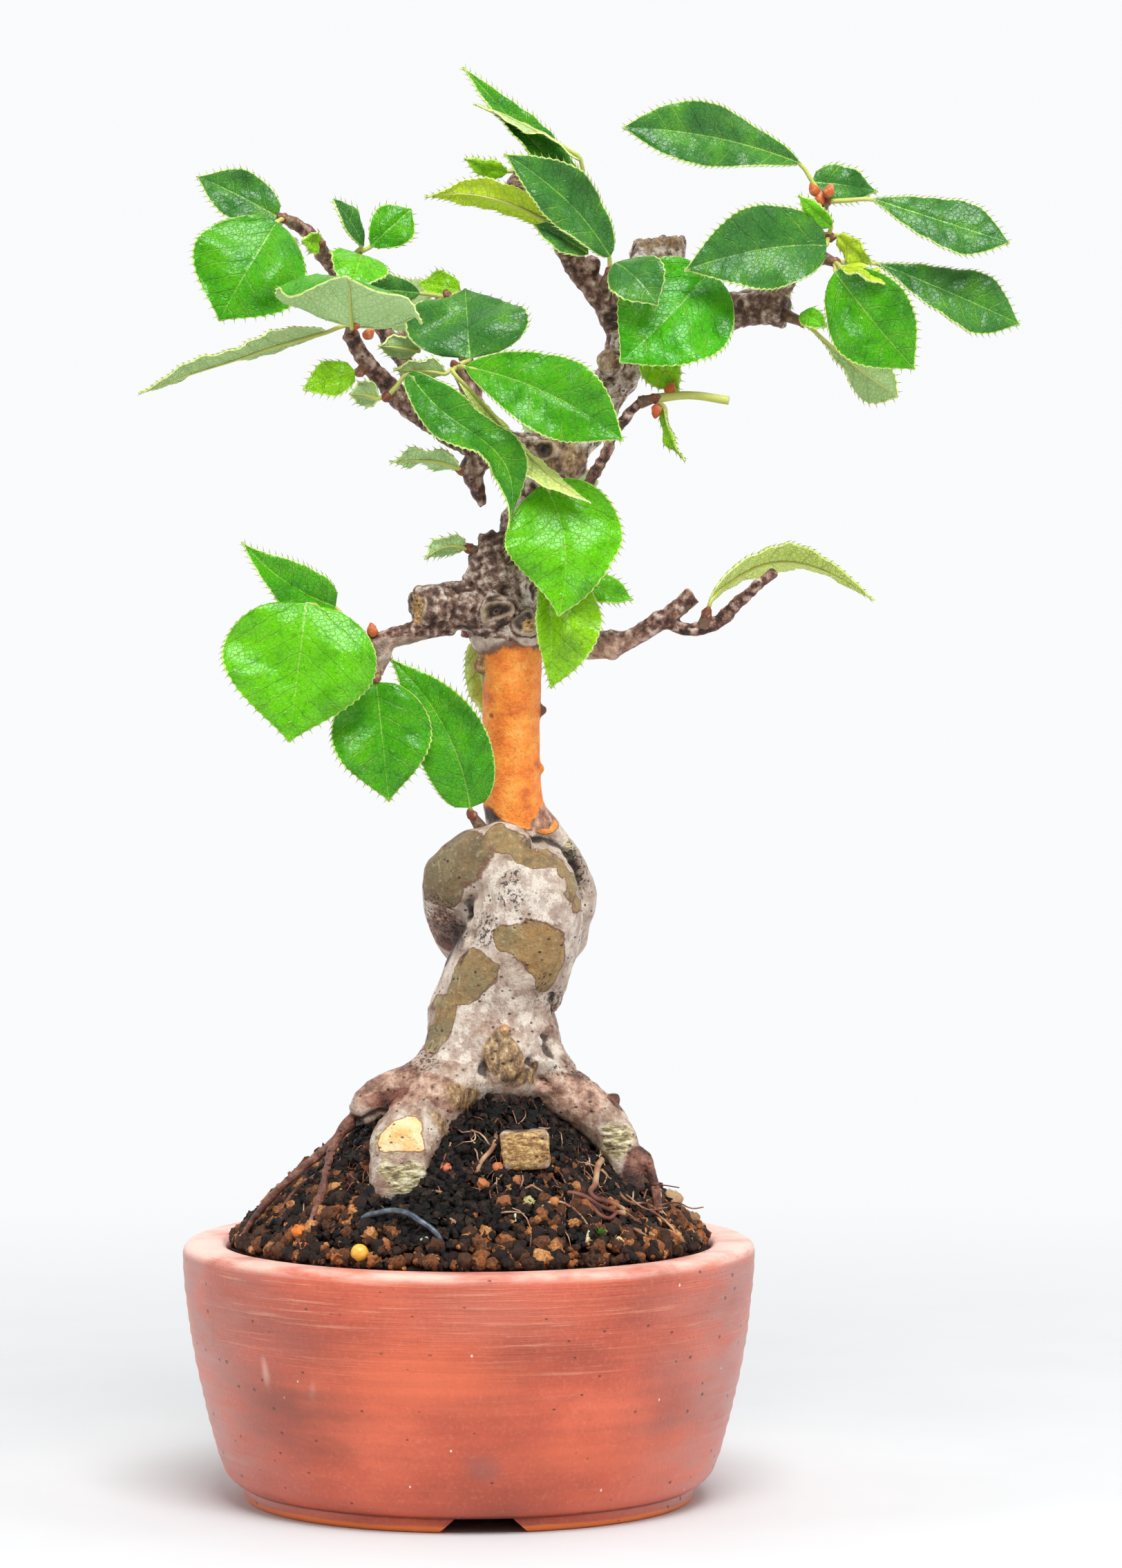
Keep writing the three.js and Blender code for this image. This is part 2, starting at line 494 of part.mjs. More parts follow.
// Each shoot springs from a seat on the wood to its heart, where its leaf stalks start
const SHOOTS = {
  shoot_apex_back: {
    seat: [16, 217.6, 2], heart: [18.6, 219.6, 5],
    leaves: [
      { base: [21, 223.6, 5], tip: [-1.1, 248, 0], width: 9, turn: 40, twist: -40, bend: -0.04, fold: 20 },
      { base: [19, 231.4, 6], tip: [0.8, 241, 4], width: 5, turn: -98, arch: -0.03, fold: 8 },
    ],
  },
  shoot_apex_left: {
    seat: [9.4, 227, 0.5], heart: [8.6, 229.6, -1.4],
    leaves: [{ base: [6.7, 229.4, -2], tip: [-0.8, 231.8, -3], width: 3.8, turn: -30, fold: 20 }],
  },
  shoot_apex_low: {
    seat: [17, 216.2, 2.3], heart: [16.6, 217.4, -1],
    leaves: [
      { base: [14.4, 220.6, -1.5], tip: [-7.6, 225.4, -5], width: 7.4, turn: 140, bend: -0.09, widest: 0.36 },
      { base: [20.6, 215.6, -4], tip: [11.2, 220.6, -6], width: 5.2, turn: 20, arch: 0.1 },
    ],
  },
  shoot_apex_front: {
    seat: [22.8, 208.8, 4], heart: [24.4, 212.4, -1],
    leaves: [
      { base: [24.4, 215, -3], tip: [6.1, 232.7, -9], width: 11.4, turn: 22, bend: 0.05, fold: 18, widest: 0.5 },
      { base: [25.2, 214, -5], tip: [32.6, 206.6, -11], width: 10, turn: -15, arch: 0.2, fold: 4, widest: 0.5 },
    ],
  },
  shoot_crown_front: {
    seat: [40, 205.6, 7], heart: [41.6, 210.6, 1.6],
    leaves: [{ base: [41.4, 212.6, 0], tip: [26, 196.8, -9], width: 21.4, turn: 8, fold: 8, bend: -0.03, widest: 0.44 }],
  },
  shoot_crown_right: {
    seat: [58.6, 218.6, 3], heart: [62, 218.4, 0],
    leaves: [
      { base: [61.6, 217, -3], tip: [37.1, 212.6, -9], width: 15, turn: 18, wave: 2, arch: 0.06, bend: 0.04, fold: 10 },
      { base: [63.4, 218.6, -1.5], tip: [69.6, 213.6, -4], width: 4.4, turn: 30 },
      { base: [62.4, 220, -2.5], tip: [56.7, 225.6, -5.5], width: 3.6, turn: -20 },
    ],
  },
  shoot_far_right: {
    seat: [60.2, 222, 2.4], heart: [61.4, 224.4, 0.6],
    leaves: [
      { base: [57.1, 231, -1], tip: [26.4, 237.2, -7], width: 11.2, turn: 24, wave: 1.6, bend: 0.035, widest: 0.6 },
      { base: [59, 227.8, 3], tip: [70.4, 226.2, 6], width: 7, turn: -20, widest: 0.36 },
      { base: [69.5, 225, -2], tip: [93.1, 217.4, -7], width: 8.6, turn: -48, arch: 0, widest: 0.5 },
    ],
  },
  shoot_low_right: {
    seat: [61, 214.8, 1.4], heart: [63, 214, -1.4],
    leaves: [
      { base: [63, 212.4, -5], tip: [76.8, 195.6, -11], width: 15.6, turn: 10, arch: 0.08, fold: 8, widest: 0.5 },
      { base: [70.2, 214, 0], tip: [94.9, 203.4, 5], width: 10.4, turn: -28, arch: 0.05, widest: 0.55 },
      { base: [64.4, 213.4, -7], tip: [71.8, 210.4, -11], width: 5, turn: -62 },
      { base: [65, 211, 3], tip: [71, 202.6, 21], width: 12, turn: 150 },
    ],
  },
  shoot_right_stub: {
    seat: [54.4, 205, 5], heart: [57.4, 203.8, 2.6],
    leaves: [
      { base: [59.6, 201.6, 1.4], tip: [74, 190.9, -1], width: 7.4, turn: 150, twist: 60, widest: 0.74 },
      { base: [57.2, 205.4, 0], tip: [61.6, 203, -4], width: 4, turn: -20 },
    ],
  },
  shoot_far_left: {
    seat: [-29.8, 220.7, 6.2], heart: [-31.8, 221.6, 4],
    leaves: [
      { base: [-32.7, 221.8, 4], tip: [-46.8, 228.8, 7], width: 9, turn: 10, bend: 0.01 },
      { base: [-33, 221, 0], tip: [-43, 204, -7], width: 20.4, turn: 6, fold: 6, widest: 0.48 },
      { base: [-33.4, 219, 9], tip: [-39, 211, 25], width: 12, turn: 160 },
    ],
  },
  shoot_left_top: {
    seat: [-23.6, 213.6, 9.8], heart: [-19.8, 215, 8.4],
    leaves: [
      { base: [-18, 216.8, 7], tip: [-23.2, 225, 3], width: 5.6, turn: 50, fold: 10, widest: 0.55 },
      { base: [-16.8, 216.8, 8], tip: [-9.8, 223.2, 10], width: 8.4, turn: -10, widest: 0.55 },
      { base: [-18.4, 215.4, 5], tip: [-20.6, 208.6, -5], width: 10.4, turn: 0, fold: 4, arch: 0.16 },
    ],
  },
  shoot_left_bright: {
    seat: [-25.4, 216, 9], heart: [-25.4, 217, 6],
    leaves: [{ base: [-25.4, 217.2, 5], tip: [-28.6, 217.8, 1], width: 3.8, turn: 0 }],
  },
  shoot_left_wings: {
    seat: [-20.4, 201.4, -7], heart: [-20.2, 203.6, -7.6],
    leaves: [
      { base: [-20, 203, -9], tip: [-21, 211.8, -25], width: 25.6, turn: 163, fold: 2, widest: 0.44 },
      { base: [-24.6, 202.4, -8], tip: [-56.9, 191.7, -16], width: 9.4, turn: 112, bend: 0.05, arch: 0.04 },
    ],
  },
  shoot_left_bright_low: {
    seat: [-17.4, 196.8, -6.5], heart: [-18.6, 195.4, -8.6],
    leaves: [{ base: [-19.6, 195.4, -9.4], tip: [-28.6, 192.2, -12], width: 6.4, turn: 25, fold: 8 }],
  },
  shoot_behind: {
    seat: [-2.6, 205.2, 9.2], heart: [-3.6, 208, 10.4],
    leaves: [
      { base: [-8.4, 208.8, 9.6], tip: [-21.2, 209.6, 6], width: 6, turn: 10, widest: 0.5 },
      { base: [-1.4, 209.2, 11], tip: [-8.8, 210.6, 13], width: 5, turn: 20 },
      { base: [-6, 205, 14], tip: [-17, 206, 33], width: 11, turn: 170 },
    ],
  },
  shoot_middle: {
    seat: [-1, 193.8, -2.9], heart: [-2.2, 196, -4.6],
    leaves: [
      { base: [0.2, 197.6, -4.6], tip: [-0.6, 209.6, 5], width: 21, turn: 0, fold: 6, widest: 0.4 },
      { base: [-0.6, 196.2, -9], tip: [26.7, 183.4, -17], width: 14, turn: -8, fold: 8, bend: -0.05, widest: 0.56 },
      { base: [-1.2, 194, -7], tip: [22.2, 175.8, -12.5], width: 8, turn: 118, bend: 0.04, widest: 0.6 },
      { base: [-4, 195.2, -6], tip: [-13, 195.8, -8.4], width: 5, turn: 130 },
    ],
  },
  shoot_pale_left: {
    seat: [-11, 200.6, 5], heart: [-9.4, 199.6, 1.6],
    leaves: [{ base: [-8.6, 199, 0.4], tip: [-15.6, 199.8, -2.6], width: 4.8, turn: 150 }],
  },
  shoot_branch_left: {
    seat: [-13, 191.8, -6.4], heart: [-14, 191, -8.4],
    leaves: [
      { base: [-10.4, 195, -11], tip: [6.9, 168.2, -15], width: 11.6, turn: 4, wave: 1.4, bend: -0.1, widest: 0.5 },
      { base: [-15.4, 190.6, -8.6], tip: [-20.6, 191.4, -9], width: 5, turn: 160, arch: 0.3 },
    ],
  },
  shoot_hanging: {
    seat: [1, 178, 1.6], heart: [-0.8, 178.2, 1],
    leaves: [{ base: [-1.6, 178.8, 0.6], tip: [-13.7, 179.8, -1], width: 4.6, turn: 140, wave: 1, bend: -0.06 }],
  },
  shoot_heart: {
    seat: [12.2, 173.6, 0.8], heart: [12.2, 174.4, -3],
    leaves: [{ base: [13, 176, -7], tip: [15.9, 153.3, -14], width: 19.8, turn: 6, fold: 6, bend: -0.11, widest: 0.44 }],
  },
  shoot_folded: {
    seat: [10, 164.4, -0.6], heart: [11.4, 164.4, -4],
    leaves: [
      { base: [13, 163, -6], tip: [13.4, 140.9, -8], width: 19, turn: 14, fold: 26, bend: -0.12, widest: 0.52 },
      { base: [18.4, 159.4, -2], tip: [28.4, 156, 1], width: 5.6, turn: -20 },
    ],
  },
  shoot_stub_left: {
    seat: [2.2, 164, 0], heart: [0.2, 164.8, 0],
    leaves: [{ base: [-0.4, 165, 0], tip: [-7.7, 163, -2], width: 4, turn: 60, arch: 0.14 }],
  },
  shoot_neck: {
    seat: [2.4, 152, 5], heart: [-0.2, 150.4, 7.4],
    leaves: [{ base: [1, 149, 8.4], tip: [4, 133.4, 10], width: 5.2, turn: 150 }],
  },
  shoot_low_left: {
    seat: [-17, 148.7, -4.4], heart: [-18.9, 149.5, -6.4],
    leaves: [
      { base: [-23, 154.8, -6.6], tip: [-39.1, 166, -11], width: 8.6, turn: 18, fold: 20, bend: -0.09, widest: 0.32 },
      { base: [-28, 155.4, -12], tip: [-31.1, 131.3, -16], width: 26.4, turn: 0, fold: 6, widest: 0.4 },
    ],
  },
  shoot_low_left_down: {
    seat: [-16, 143.8, -5.9], heart: [-16, 142.6, -7.6],
    leaves: [{ base: [-16, 141.8, -8.4], tip: [-13.8, 121, -11], width: 17.2, turn: 0, fold: 8, wave: 1 }],
  },
  shoot_coil: {
    seat: [2, 116.6, -0.4], heart: [0.6, 118.6, -2],
    leaves: [{ base: [0.2, 120, -3], tip: [-13.8, 146, -4], width: 12.6, turn: 0, bend: 0.09, widest: 0.36 }],
  },
  shoot_red_twig: {
    seat: [29.6, 190, -1.5], heart: [31.8, 190.6, -2.6],
    leaves: [
      { base: [33.4, 189, -3.4], tip: [36.8, 179.8, -5], width: 2.8, turn: 60 },
    ],
  },
  shoot_trunk_bright: {
    seat: [28.8, 201, 2.6], heart: [29.6, 200.8, 0],
    leaves: [{ base: [30.4, 199.6, -0.6], tip: [36.2, 191.6, -0.4], width: 7, turn: 0 }],
  },
  shoot_arching: {
    seat: [40.4, 151.4, -0.2], heart: [41, 153.4, -1.2],
    leaves: [{ base: [41.4, 156, -1.6], tip: [70, 156, 2], width: 10.6, turn: -118, arch: 0.34, bend: -0.12 }],
  },
  shoot_back_trunk: {
    seat: [16, 181, 9], heart: [16.6, 181.4, 13],
    leaves: [
      { base: [17, 184, 15], tip: [8.6, 190, 34], width: 13, turn: 170 },
      { base: [16.4, 178, 15], tip: [16, 165, 34], width: 14, turn: 160 },
    ],
  },
  shoot_back_crown: {
    seat: [31.4, 210.6, 10], heart: [32, 211, 14],
    leaves: [
      { base: [32.6, 207.6, 17], tip: [37, 200.6, 36], width: 13, turn: 160 },
    ],
  },
  shoot_back_right: {
    seat: [49, 206.4, 9], heart: [49, 207.6, 13],
    leaves: [
      { base: [50.6, 210, 15], tip: [57, 214, 33], width: 12, turn: 180 },
    ],
  },
  shoot_back_knuckle: {
    seat: [7, 153.4, 8], heart: [8, 154, 12],
    leaves: [{ base: [9.4, 154.4, 14], tip: [17, 148.4, 34], width: 13, turn: 170 }],
  },
};

// The cut leaf stalk that stands out to the right from the red twig
const CUT_STALK = [[31.6, 190.6, -2.4, 0.9], [38, 191.2, -3.4, 0.75], [44.8, 190.3, -4.4, 0.8]];

function shoot({ seat, heart, leaves }, extra = []) {
  const spur = limb([place(seat), place(heart)], [1.1, 0.9], TWIG_SIDES);
  const bud = lump([...heart, BUD_RADIUS], 0);
  return join([spur, bud, ...extra, ...leaves.map((leaf) => leafSolid(leaf, place(heart)))]);
}

const tree = wood(0);
const treeSeat = wood(GAP);

addNode('pot', pot(), TERRACOTTA);
addNode('drainage_mesh', drainageMesh(0), NETTING);
addNode('mesh_clip', meshClip(0), WIRE);
addNode('tie_wire', tieWire(0), WIRE);
addNode('fertiliser_prill', prill(0), FERTILISER);
addNode('soil', [treeSeat, tieWire(GAP), drainageMesh(GAP), meshClip(GAP), prill(GAP)]
  .reduce((soil, seat) => soil.subtract(seat), soilMound()), PEAT);
addNode('tree_wood', tree, BARK);
for (const [name, row] of Object.entries(SHOOTS)) {
  const extra = name === 'shoot_red_twig' ? [seenLimb(CUT_STALK, TWIG_SIDES, 0)] : [];
  addNode(name, shoot(row, extra).subtract(treeSeat), LEAF);
}

// The origin is under the middle of the whole object, on the surface that the pot stands on
const bounds = new THREE.Box3().setFromObject(bonsai);
const middle = bounds.getCenter(new THREE.Vector3());
bonsai.position.set(-middle.x, -middle.y, -bounds.min.z);

export default bonsai;
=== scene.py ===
# %% [markdown]
# # A potted Chinese quince, dressed round its CAD frame
# The frame holds plain solids: a pot, a mound of soil, a coiled trunk and its leafy shoots. This
# lesson keeps their places and sizes and models what a visitor would see: the turned clay, the
# grains of soil, the flaking bark and the bristly leaves. Everything is in metres, +Z is up, and
# the front of the pot faces -Y. The dressed tree has to fit the same box as the frame, and the
# noise gets a seed, so that every run grows the same tree.

# %% Load the frame
import math
import bpy
import numpy as np
from mathutils import Matrix, Vector, kdtree, noise


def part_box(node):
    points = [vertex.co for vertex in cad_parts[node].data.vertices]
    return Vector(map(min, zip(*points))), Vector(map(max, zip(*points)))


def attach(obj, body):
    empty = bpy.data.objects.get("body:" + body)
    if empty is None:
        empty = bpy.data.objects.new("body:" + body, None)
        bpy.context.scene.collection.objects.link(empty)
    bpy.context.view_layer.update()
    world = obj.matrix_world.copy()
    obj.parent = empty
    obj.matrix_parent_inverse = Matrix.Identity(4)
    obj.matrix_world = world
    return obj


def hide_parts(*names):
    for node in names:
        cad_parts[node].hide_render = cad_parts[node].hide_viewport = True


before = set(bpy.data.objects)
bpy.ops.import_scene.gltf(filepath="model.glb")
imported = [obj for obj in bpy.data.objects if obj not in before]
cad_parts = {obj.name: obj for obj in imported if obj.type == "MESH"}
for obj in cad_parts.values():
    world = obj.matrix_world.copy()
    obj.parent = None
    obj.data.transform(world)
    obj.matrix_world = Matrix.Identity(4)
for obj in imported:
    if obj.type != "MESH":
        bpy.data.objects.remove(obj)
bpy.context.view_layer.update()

MM = 0.001
NOISE_SEED = 7
noise.seed_set(NOISE_SEED)

# %% [markdown]
# ## One way to name a place
# A tree has no straight edges to measure from, so every place on it was read on a front view, as
# a distance to the right of the pot's axis, a height, and a depth behind the plane through that
# axis. The view narrows with distance as a real view does, so a point is moved along the line
# that runs to the eye. The pot's own box says where its axis stands.

# %% Place a point of the front view
pot_low, pot_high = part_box("pot")
POT_AXIS = Vector(((pot_low.x + pot_high.x) / 2, (pot_low.y + pot_high.y) / 2, 0))
EYE = Vector((15.9, -1200, 195))


def place(x, z, depth):
    """The place in the scene, in metres, of a point in millimetres on the front view."""
    on_plane = Vector((x, 0, z))
    return POT_AXIS + (EYE + (on_plane - EYE) * (1 - depth / EYE.y)) * MM


def in_mm(points):
    """Places as millimetres from the foot of the pot's axis."""
    return (np.asarray(points) - np.array(POT_AXIS)) / MM


def from_mm(local):
    """The places in the scene of rows in millimetres from the foot of the pot's axis."""
    return np.asarray(local) * MM + np.array(POT_AXIS)


def front_view(points):
    """The rows x, height and depth in millimetres of an array of places."""
    local = in_mm(points)
    reach = (local[:, 1] - EYE.y) / -EYE.y
    x = (local[:, 0] - EYE.x) / reach + EYE.x
    z = (local[:, 2] - EYE.z) / reach + EYE.z
    return np.stack([x, z, local[:, 1]], axis=1)


print("the pot's axis is at x =", round(POT_AXIS.x, 4))

# %% [markdown]
# ## Camera, light and floor
# A small tree is shown best from a little above the rim and from far away, with a long lens, so
# that near leaves don't look too large. The light is a white tent that is open towards the front:
# it shines from above, from the sides and from behind, and the dark front keeps the colours deep,
# because a glossy leaf shows what it faces. One broad lamp above the front gives soft shadows and
# puts a sheen on the leaves that face it. The floor is a plain pale sheet. Far from the pot it
# gives its own light, so that it runs into the tent without an edge.

# %% Set up the camera and the lamps
CAMERA_PITCH = 3.38
LENS = 159.7
SENSOR_WIDTH = 36
MIDDLE = Vector((0, 0, 0.13))
LAMP_TINT = (0.95, 0.98, 1.0)
LAMPS = {
    "lamp_above": [(0.1, -0.62, 1.0), 0.62, 14.4],
    "lamp_left": [(-1.1, -0.4, 0.45), 0.5, 2.6],
    "lamp_right": [(1.1, -0.35, 0.5), 0.5, 2.4],
}

scene = bpy.context.scene
scene.view_settings.view_transform = "Standard"
bpy.ops.object.camera_add(
    location=POT_AXIS + EYE * MM, rotation=(math.radians(90 - CAMERA_PITCH), 0, 0))
camera = bpy.context.object
camera.data.lens = LENS
camera.data.sensor_width = SENSOR_WIDTH
scene.camera = camera

for name, (spot, size, power) in LAMPS.items():
    towards = (MIDDLE - Vector(spot)).to_track_quat("-Z", "Y").to_euler()
    bpy.ops.object.light_add(type="AREA", location=spot, rotation=towards)
    lamp = bpy.context.object
    lamp.name = name
    lamp.data.size = size
    lamp.data.energy = power
    lamp.data.color = LAMP_TINT
print("lamps", ", ".join(LAMPS))

# %% Hang the light tent and lay the floor
TENT_EDGES = (-0.7, 0.3)
TENT_FRONT = 0.12
TENT_BACK = 1.0
TENT_SEEN = 0.97
FLOOR_SIZE = 30


def light_tent():
    """A white surround that is dark on the side of the viewer, and plain white where it is seen."""
    room = bpy.data.worlds.new("light_tent")
    room.use_nodes = True
    nodes, links = room.node_tree.nodes, room.node_tree.links
    towards = nodes.new("ShaderNodeTexCoord")
    parts = nodes.new("ShaderNodeSeparateXYZ")
    links.new(towards.outputs["Generated"], parts.inputs[0])
    depth = nodes.new("ShaderNodeMapRange")
    links.new(parts.outputs[1], depth.inputs[0])
    for index, value in enumerate((*TENT_EDGES, TENT_FRONT, TENT_BACK), start=1):
        depth.inputs[index].default_value = value
    seen = nodes.new("ShaderNodeLightPath")
    strength = nodes.new("ShaderNodeMix")
    links.new(seen.outputs["Is Camera Ray"], strength.inputs[0])
    links.new(depth.outputs[0], strength.inputs[2])
    strength.inputs[3].default_value = TENT_SEEN
    links.new(strength.outputs[0], nodes["Background"].inputs["Strength"])
    nodes["Background"].inputs["Color"].default_value = (0.985, 0.99, 1, 1)
    return room


scene.world = light_tent()
bpy.ops.mesh.primitive_plane_add(size=FLOOR_SIZE, location=(0, 0, 0))
floor = bpy.context.object
floor.name = "floor"
print("floor in metres", FLOOR_SIZE)

# %% [markdown]
# ## Small helpers for making a piece
# Blender's tools act on what is selected, so each piece is selected alone before a tool is used.
# A modifier is applied as soon as it is set up, so that the finished mesh is plain and stays the
# same in every render. A finished piece is tied to the frame's one body, and the CAD solids that it
# stands for are hidden.

# %% Helpers that use Blender's tools
def only(piece):
    """Select one piece alone and make it active."""
    bpy.ops.object.select_all(action="DESELECT")
    piece.select_set(True)
    bpy.context.view_layer.objects.active = piece


def modify(piece, kind, **settings):
    """Add one modifier with its settings and apply it."""
    only(piece)
    modifier = piece.modifiers.new(kind.lower(), kind)
    for key, value in settings.items():
        setattr(modifier, key, value)
    bpy.ops.object.modifier_apply(modifier=modifier.name)


def in_edit_mode(piece, *steps):
    """Run mesh tools on all of a piece in edit mode."""
    only(piece)
    bpy.ops.object.mode_set(mode="EDIT")
    for step in steps:
        bpy.ops.mesh.select_all(action="SELECT")
        step()
    bpy.ops.object.mode_set(mode="OBJECT")


def joined(pieces, name):
    """Make one piece of several."""
    only(pieces[0])
    for piece in pieces:
        piece.select_set(True)
    bpy.ops.object.join()
    pieces[0].name = name
    return pieces[0]


def dress(piece, look, replaced=(), smooth_below=180):
    """Give a finished piece its look, tie it to the body and hide the solids it stands for."""
    if look:
        piece.data.materials.append(look)
    only(piece)
    bpy.ops.object.shade_smooth_by_angle(angle=math.radians(smooth_below))
    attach(piece, "root")
    if replaced:
        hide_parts(*replaced)
    print(piece.name, len(piece.data.polygons), "faces")


print("helpers are ready")

# %% Helpers that read and write the points of a mesh
def unit(vectors):
    return vectors / np.linalg.norm(vectors, axis=-1, keepdims=True)


def points_of(piece, field="co"):
    """The points of a mesh, or another field of them, as an array of rows."""
    points = np.empty(3 * len(piece.data.vertices))
    piece.data.vertices.foreach_get(field, points)
    return points.reshape(-1, 3)


def move_points(piece, points):
    piece.data.vertices.foreach_set("co", np.asarray(points).ravel())
    piece.data.update()


def paint(piece, name, values):
    """Write one number or one colour for each point, for the finish to read."""
    values = np.asarray(values, dtype=float)
    kind, field = ("FLOAT", "value") if values.ndim == 1 else ("FLOAT_COLOR", "color")
    layer = piece.data.attributes.new(name, kind, "POINT")
    layer.data.foreach_set(field, values.ravel())


def paint_whole(piece, name, colour):
    """Write the same colour for every point of a piece."""
    paint(piece, name, np.tile(colour, (len(piece.data.vertices), 1)))


print("a diagonal of length 1 is", unit(np.ones(3)).round(3))

# %% Helpers that make a mesh
MERGE_BELOW = 0.01 * MM


def new_mesh(name, points, faces):
    """A piece from ready points and faces."""
    mesh = bpy.data.meshes.new(name)
    mesh.from_pydata(np.asarray(points).tolist(), [], faces)
    mesh.validate()
    piece = bpy.data.objects.new(name, mesh)
    bpy.context.collection.objects.link(piece)
    return piece


def tubes(name, runs, sides, steps):
    """Round lengths along smooth curves, where each run lists its places and radii in metres."""
    curve = bpy.data.curves.new(name, "CURVE")
    curve.dimensions = "3D"
    curve.bevel_depth = 1
    curve.bevel_resolution = (sides - 4) // 2
    curve.resolution_u = steps
    curve.use_fill_caps = True
    for run in runs:
        spline = curve.splines.new("BEZIER")
        spline.bezier_points.add(len(run) - 1)
        for point, (spot, radius) in zip(spline.bezier_points, run):
            point.co = spot
            point.radius = radius
            point.handle_left_type = point.handle_right_type = "AUTO"
    piece = bpy.data.objects.new(name, curve)
    bpy.context.collection.objects.link(piece)
    only(piece)
    bpy.ops.object.convert(target="MESH")
    in_edit_mode(piece, lambda: bpy.ops.mesh.remove_doubles(threshold=MERGE_BELOW))
    return piece


def spun(name, section, steps):
    """A closed section, rows of radius and height in millimetres, spun round the pot's axis."""
    bpy.ops.mesh.primitive_circle_add(vertices=len(section), radius=1)
    piece = bpy.context.object
    piece.name = name
    move_points(piece, from_mm([(radius, 0, height) for radius, height in section]))
    in_edit_mode(
        piece,
        lambda: bpy.ops.mesh.spin(steps=steps, angle=2 * math.pi, center=POT_AXIS, axis=(0, 0, 1)),
        lambda: bpy.ops.mesh.remove_doubles(threshold=2 * MERGE_BELOW),
        lambda: bpy.ops.mesh.normals_make_consistent(inside=False),
    )
    return piece


print("thin seams are merged below, in mm", MERGE_BELOW / MM)

# %% [markdown]
# ## Finishes made of nodes
# A finish is a Principled shader with patterns worked out from the place on the surface, so it
# needs no picture and no unwrapping. Two helpers keep each recipe short. Value is what a node
# gives out: it is added, multiplied and masked like a number, and every such step adds a node.
# Finish turns Object coordinates into millimetres, so that the size of a pattern can be written
# as a maker would measure it, and lays one tone over another until the colour is right.

# %% A value that nodes work out
def rgb(red, green, blue):
    """A colour written as on a screen, 0 to 255, for a shader."""
    parts = [c / 255 for c in (red, green, blue)]
    return tuple(c / 12.92 if c < 0.04045 else ((c + 0.055) / 1.055) ** 2.4 for c in parts) + (1.0,)


class Value:
    """What a node gives out, to be reckoned with like a number."""

    def __init__(self, look, socket):
        self.look = look
        self.socket = socket

    def __add__(self, other):
        return self.look.math("ADD", self, other)

    def __sub__(self, other):
        return self.look.math("SUBTRACT", self, other)

    def __rsub__(self, other):
        return self.look.math("SUBTRACT", other, self)

    def __mul__(self, other):
        return self.look.math("MULTIPLY", self, other)

    def __truediv__(self, other):
        return self.look.math("DIVIDE", self, other)

    def __abs__(self):
        return self.look.math("ABSOLUTE", self)

    def mask(self, low, high):
        """0 below low and 1 above high, with a soft step between."""
        return self.look.out("ShaderNodeMapRange", [self, low, high, 0, 1], interpolation_type="SMOOTHSTEP")

    def between(self, low, high, first, last):
        """A straight run from first at low to last at high."""
        return self.look.out("ShaderNodeMapRange", [self, low, high, first, last])

    def ramp(self, *stops):
        """A run of colours, each stop its place and its red, green and blue as on a screen."""
        node = self.look.node("ShaderNodeValToRGB", [self])
        ramp = node.color_ramp
        while len(ramp.elements) < len(stops):
            ramp.elements.new(0.5)
        for element, (spot, *colour) in zip(ramp.elements, stops):
            element.position = spot
            element.color = rgb(*colour)
        return Value(self.look, node.outputs[0])


print("white is", rgb(255, 255, 255))

